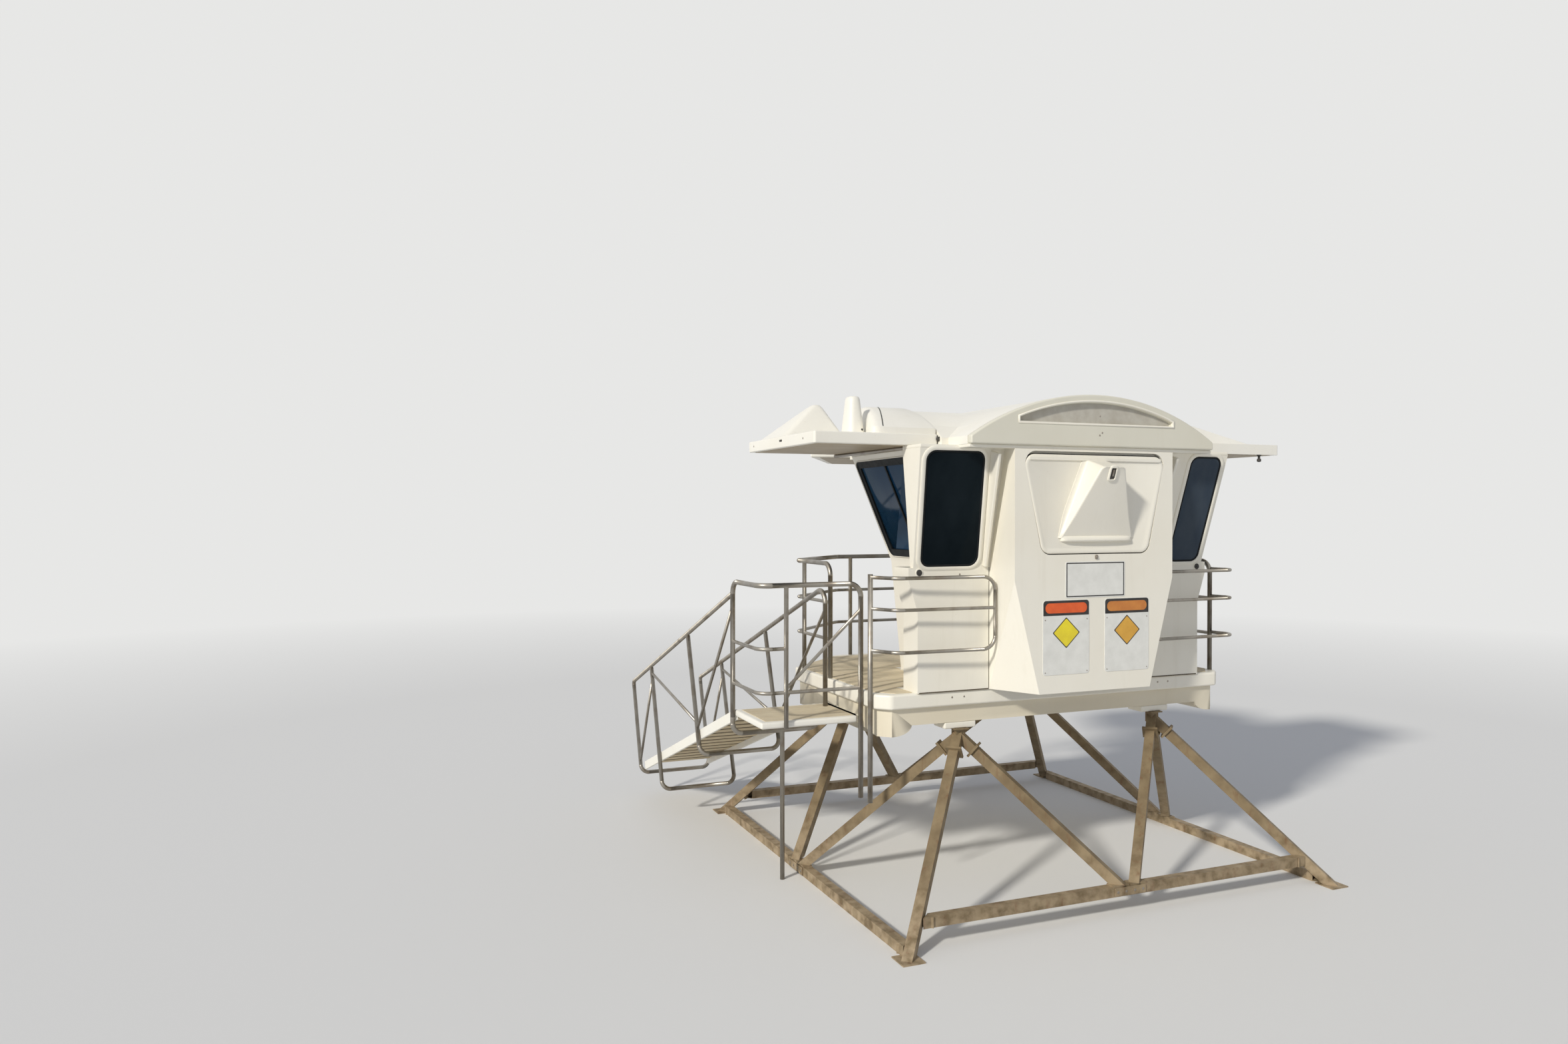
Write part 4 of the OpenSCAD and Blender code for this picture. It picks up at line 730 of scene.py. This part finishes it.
# A slot in the left awning's end, and small screws about the tower
awning_end = face((-AWNING_END, -452, 3792), (-AWNING_END, -453, 3792), (-AWNING_END, -452, 3793))
slab("left_awning_vent", awning_end, rounded(rect(-30, -9, 30, 9), 8.9), -1, 1.5, DARK, 0.5)
screws = [((-AWNING_END, y, 3782), TO_LEFT) for y in (-929, 190)]
screws += [((s * 1060, -REAR_Y, 2681), TO_REAR) for s in (-1, 1)]
screws += [((s * x, -DECK_REAR, 1665), TO_REAR) for s in (-1, 1) for x in (1125, 1010)]
screws += [((x, -ROOF_REAR + y, z), TO_REAR) for x, y, z in ((35, 0, 3850), (10, 0, 3828), (43, 38, 3990))]
studs("awning_screws", screws, 8)

# Brown strips in the corners where the rear walls meet the bay and the deck: painted shade in the creases
for side in ("left", "right"):
    flip = side == "left"
    slab(f"bay_crease_shade_{side}", upright(-REAR_Y), rect(BAY_ROOT - 3, DECK_Z + 4, BAY_ROOT + 5, SILL_Z - 6), -1, 1.2,
         BROWN, flip=flip)
    slab(f"wall_crease_shade_{side}", upright(-REAR_Y), rect(BAY_ROOT + 8, DECK_Z - 1, WING_HALF - 15, DECK_Z + 7), -1, 2.5,
         BROWN, flip=flip)
slab("threshold", GROUND, rect(-DOOR_HALF + 2, FRONT_Y - 46, DOOR_HALF - 2, FRONT_Y - 4), DECK_Z, DECK_Z + 14,
     INOX, 3)

# Deck boards between the cabin and the edges
BOARD, GAP, BOARD_T = 142, 7, 5
RIM, RIM_CUT = 45, 190


def side_limit(y):
    """Half width of the cabin's foot at depth y, with the gap beside it."""
    if y < -REAR_Y + WING_DEPTH:
        return WING_HALF + 12
    if y < SIDE_FRONT:
        return SIDE_FOOT_HALF + SIDE_SPLAY * (SIDE_FRONT - y) / (SIDE_FRONT + REAR_Y - WALL_T) + 10
    if y < FRONT_Y:
        return SIDE_FOOT_HALF + (FRONT_FOOT_HALF - SIDE_FOOT_HALF) * (y - SIDE_FRONT) / (FRONT_Y - SIDE_FRONT) + 12
    return 0


def deck_limit(y):
    """Half width of the boards at depth y, inside the deck's white rim."""
    if y < -DECK_REAR + RIM_CUT:
        return DECK_HALF - RIM - (-DECK_REAR + RIM_CUT - y)
    if y < DECK_SIDE_END:
        return DECK_HALF - RIM
    return DECK_HALF - RIM - (y - DECK_SIDE_END) * (DECK_HALF - DECK_FRONT_HALF) / (DECK_FRONT - DECK_SIDE_END)


def add_slab(bm, plane, outline, z1, z2, flip=False):
    """Adds a flat plate on a plane to a bmesh, from height z1 to z2."""
    sheet_of([lay(plane, outline, z, flip) for z in (z1, z2)], into=bm)


bm = bmesh.new()
y = -DECK_REAR + 60
while y + BOARD < DECK_FRONT - 40:
    end = y + BOARD
    inner = max(side_limit(y), side_limit(end - 1), side_limit((y + end) / 2))
    near, far = deck_limit(y), deck_limit(end)
    if inner > 0:
        outline = [(inner, y), (near, y), (far, end), (inner, end)]
        for flip in (True, False):
            add_slab(bm, GROUND, outline, DECK_Z - 1, DECK_Z + BOARD_T, flip)
    else:
        add_slab(bm, GROUND, tapered(near, y, far, end), DECK_Z - 1, DECK_Z + BOARD_T)
    y = end + GAP
settle("deck_boards", bm, PLANK, 2.5)

# Landing boards inside a white rim
bm = bmesh.new()
LANDING_BOARD = 134
y = -LANDING_REAR + 46
while y + LANDING_BOARD < -LANDING_FRONT:
    outline = rect(-RAMP_OUT + 52, y, -DECK_HALF - LANDING_GAP - 22, y + LANDING_BOARD)
    add_slab(bm, GROUND, outline, LANDING_Z - 1, LANDING_Z + 4)
    y += LANDING_BOARD + GAP
settle("landing_boards", bm, PLANK, 2)

# Dark bars under the gaps between the ramp's treads, and dark strips along the treads' edges: painted shade in and
# beside the gaps
ramp_plane = face((0, -LANDING_FRONT, LANDING_Z), (1, -LANDING_FRONT, LANDING_Z),
                  (0, -LANDING_FRONT + RAMP_L, LANDING_Z - RAMP_DROP))
pitch = math.hypot(RAMP_L, RAMP_DROP) / TREADS
left, right = -RAMP_OUT + STRINGER_T, -RAMP_IN - STRINGER_T
gap_shade, edge_shade = bmesh.new(), bmesh.new()
for k in range(1, TREADS):
    add_slab(gap_shade, ramp_plane, rect(left + 1, k * pitch - 19, right - 1, k * pitch + 19), -34, -7)
settle("ramp_cross_bars", gap_shade, BROWN, 4)
for k in range(TREADS):
    for s in (-1, 1):
        y = (k + 0.5) * pitch + s * (TREAD_W / 2 - 13)
        add_slab(edge_shade, ramp_plane, rect(left + 18, y - 9, right - 18, y + 9), -5, -2.6)
settle("tread_grips", edge_shade, DARK)

# Signs: bare plates with a plain colour design
WIDE = rect(-308, 2490, 292, 2787)
SIGN_LOW, SIGN_HIGH, SIGN_T = 1866, 2476, 3
BAND_H, DIAMOND_DROP = 126, 268
slab("sign_wide", REAR, rounded(WIDE, 14), -1, SIGN_T, SIGN_WHITE, 0.8)
moulding("sign_wide_line", REAR, offset(WIDE, -8), 6, [(0, 2.5), (0, 3.6), (-9, 3.6), (-9, 2.5)], SIGN_BLACK)
for side, x1, x2, header, diamond in (("left", -529, -72, SIGN_ORANGE, SIGN_YELLOW),
                                      ("right", 86, 543, SIGN_BROWN, SIGN_AMBER)):
    slab(f"sign_{side}", REAR, rounded(rect(x1, SIGN_LOW, x2, SIGN_HIGH), 28), -1, SIGN_T, SIGN_WHITE, 0.8)
    band = rect(x1 + 4, SIGN_HIGH - BAND_H, x2 - 4, SIGN_HIGH - 4)
    slab(f"sign_{side}_band", REAR, rounded(band, [4, 4, 25, 25]), 2.5, 3.8, SIGN_BLACK)
    slab(f"sign_{side}_header", REAR, rounded(offset(band, -20), 38), 3.5, 4.6, header)
    mid, centre = (x1 + x2) / 2, SIGN_HIGH - DIAMOND_DROP
    for part, reach, z, material in (("edge", 134, 3.8, SIGN_BLACK), ("face", 123, 4.6, diamond)):
        tall = reach * 0.95
        points = [(mid, centre - tall), (mid + reach, centre), (mid, centre + tall), (mid - reach, centre)]
        slab(f"sign_{side}_diamond_{part}", REAR, rounded(points, 8, 3), z - 1.2, z, material)
    corners = [(x, z) for x in (x1 + 22, x2 - 22) for z in (SIGN_LOW + 22, SIGN_HIGH - 160)]
    studs(f"sign_{side}_screws", [((x, -BAY_Y - SIGN_T, z), TO_REAR) for x, z in corners], 5)

# Fascia slot: a grey sheet at its back, painted shade in the recess, and a raised cream lip
ARCH_R = arc_radius(ROOF_HALF, CROWN_Z - EAVE_Z - FASCIA_EDGE)
ARCH_MID = CROWN_Z - ARCH_R


def lens(shrink, steps=28):
    """Outline of the fascia's slot, shrunk all round, anticlockwise from its lower left."""
    r = ARCH_R - SLOT_EDGE - shrink
    low = EAVE_Z + SLOT_FOOT + shrink
    half = min(SLOT_HALF - shrink, math.sqrt(r * r - (low - ARCH_MID) ** 2))
    start = math.acos(half / r)
    angles = [start + (math.pi - 2 * start) * k / steps for k in range(steps + 1)]
    return [(-half, low), (half, low)] + [(r * math.cos(a), ARCH_MID + r * math.sin(a)) for a in angles]


for end, plane in (("rear", upright(-ROOF_REAR)), ("front", upright(ROOF_FRONT, -1))):
    slab(f"{end}_slot_back_shade", plane, lens(3), -41, -37, SLOT_SHADE)
    loops = [lay(plane, lens(d), h) for d, h in ((-16, -4), (-15, 5), (-10, 9), (-3, 8), (2, 2), (2, -20))]
    settle(f"{end}_slot_lip", sheet_of(loops, closed=True), CREAM, sharp=60)

# Camera at the photograph's place
CAMERA_AT, TURNED, DOWN = (-5697, -8715, 3184), 21.98, 0.463
camera_data = bpy.data.cameras.new("camera")
camera_data.sensor_width = 36
camera_data.lens = 24.4
camera_data.clip_end = 300
camera = bpy.data.objects.new("camera", camera_data)
camera.location = row(CAMERA_AT)
camera.rotation_euler = (math.radians(90 - DOWN), 0, math.radians(-TURNED))
bpy.context.scene.collection.objects.link(camera)
bpy.context.scene.camera = camera

# Round floor, which fades into the pale background far out
PALE = (0.80, 0.80, 0.79)
FLOOR_RINGS, SPOKES = (0.5, 4, 8, 14, 24, 45, 90, 160), 96
FADE_FROM, FADE_TO = 11.0, 26.0
floor_bm = bmesh.new()
around = [(math.cos(2 * math.pi * k / SPOKES), math.sin(2 * math.pi * k / SPOKES)) for k in range(SPOKES)]
rings = [[floor_bm.verts.new((r * x, r * y, 0)) for x, y in around] for r in FLOOR_RINGS]
middle = floor_bm.verts.new((0, 0, 0))
for k in range(SPOKES):
    j = (k + 1) % SPOKES
    floor_bm.faces.new((middle, rings[0][k], rings[0][j]))
    for inside, outside in zip(rings, rings[1:]):
        floor_bm.faces.new((inside[k], outside[k], outside[j], inside[j]))
floor_mesh = bpy.data.meshes.new("floor")
floor_bm.to_mesh(floor_mesh)
floor_bm.free()
floor = bpy.data.objects.new("floor", floor_mesh)
bpy.context.scene.collection.objects.link(floor)
n = paint("floor_pale")
n.finish(PALE, 0.9, Specular_IOR_Level=0.1)
glow = n.add("ShaderNodeEmission", Strength=1.0, Color=(*PALE, 1))
distance = n.add("ShaderNodeVectorMath", operation="LENGTH")
n.link(n.place(), distance.inputs[0])
far = n.ramp(distance.outputs["Value"], FADE_FROM, FADE_TO)
n.mix_out(n.math("MULTIPLY", far, n.seen()), n.tree.nodes["Principled BSDF"], glow, "Material Output")
floor_mesh.materials.append(n.owner)

# A soft sky that lights the tower, and the pale background that is seen instead of it
world = bpy.data.worlds.new("studio")
bpy.context.scene.world = world
n = Nodes(world)
sky = n.tree.nodes["Background"]
sky.inputs["Color"].default_value = (0.86, 0.90, 1.0, 1)
sky.inputs["Strength"].default_value = 0.40
back = n.add("ShaderNodeBackground", Strength=1.0, Color=(*PALE, 1))
n.mix_out(n.seen(), sky, back, "World Output")

SUN_WAY = (0.77, 0.41, -0.49)
sun_data = bpy.data.lights.new("key", "SUN")
sun_data.energy = 2.7
sun_data.angle = math.radians(5)
sun_data.color = (1.0, 0.96, 0.88)
sun = bpy.data.objects.new("key", sun_data)
sun.rotation_euler = Vector(SUN_WAY).to_track_quat("-Z", "Y").to_euler()
bpy.context.scene.collection.objects.link(sun)

bpy.context.scene.view_settings.view_transform = "Standard"
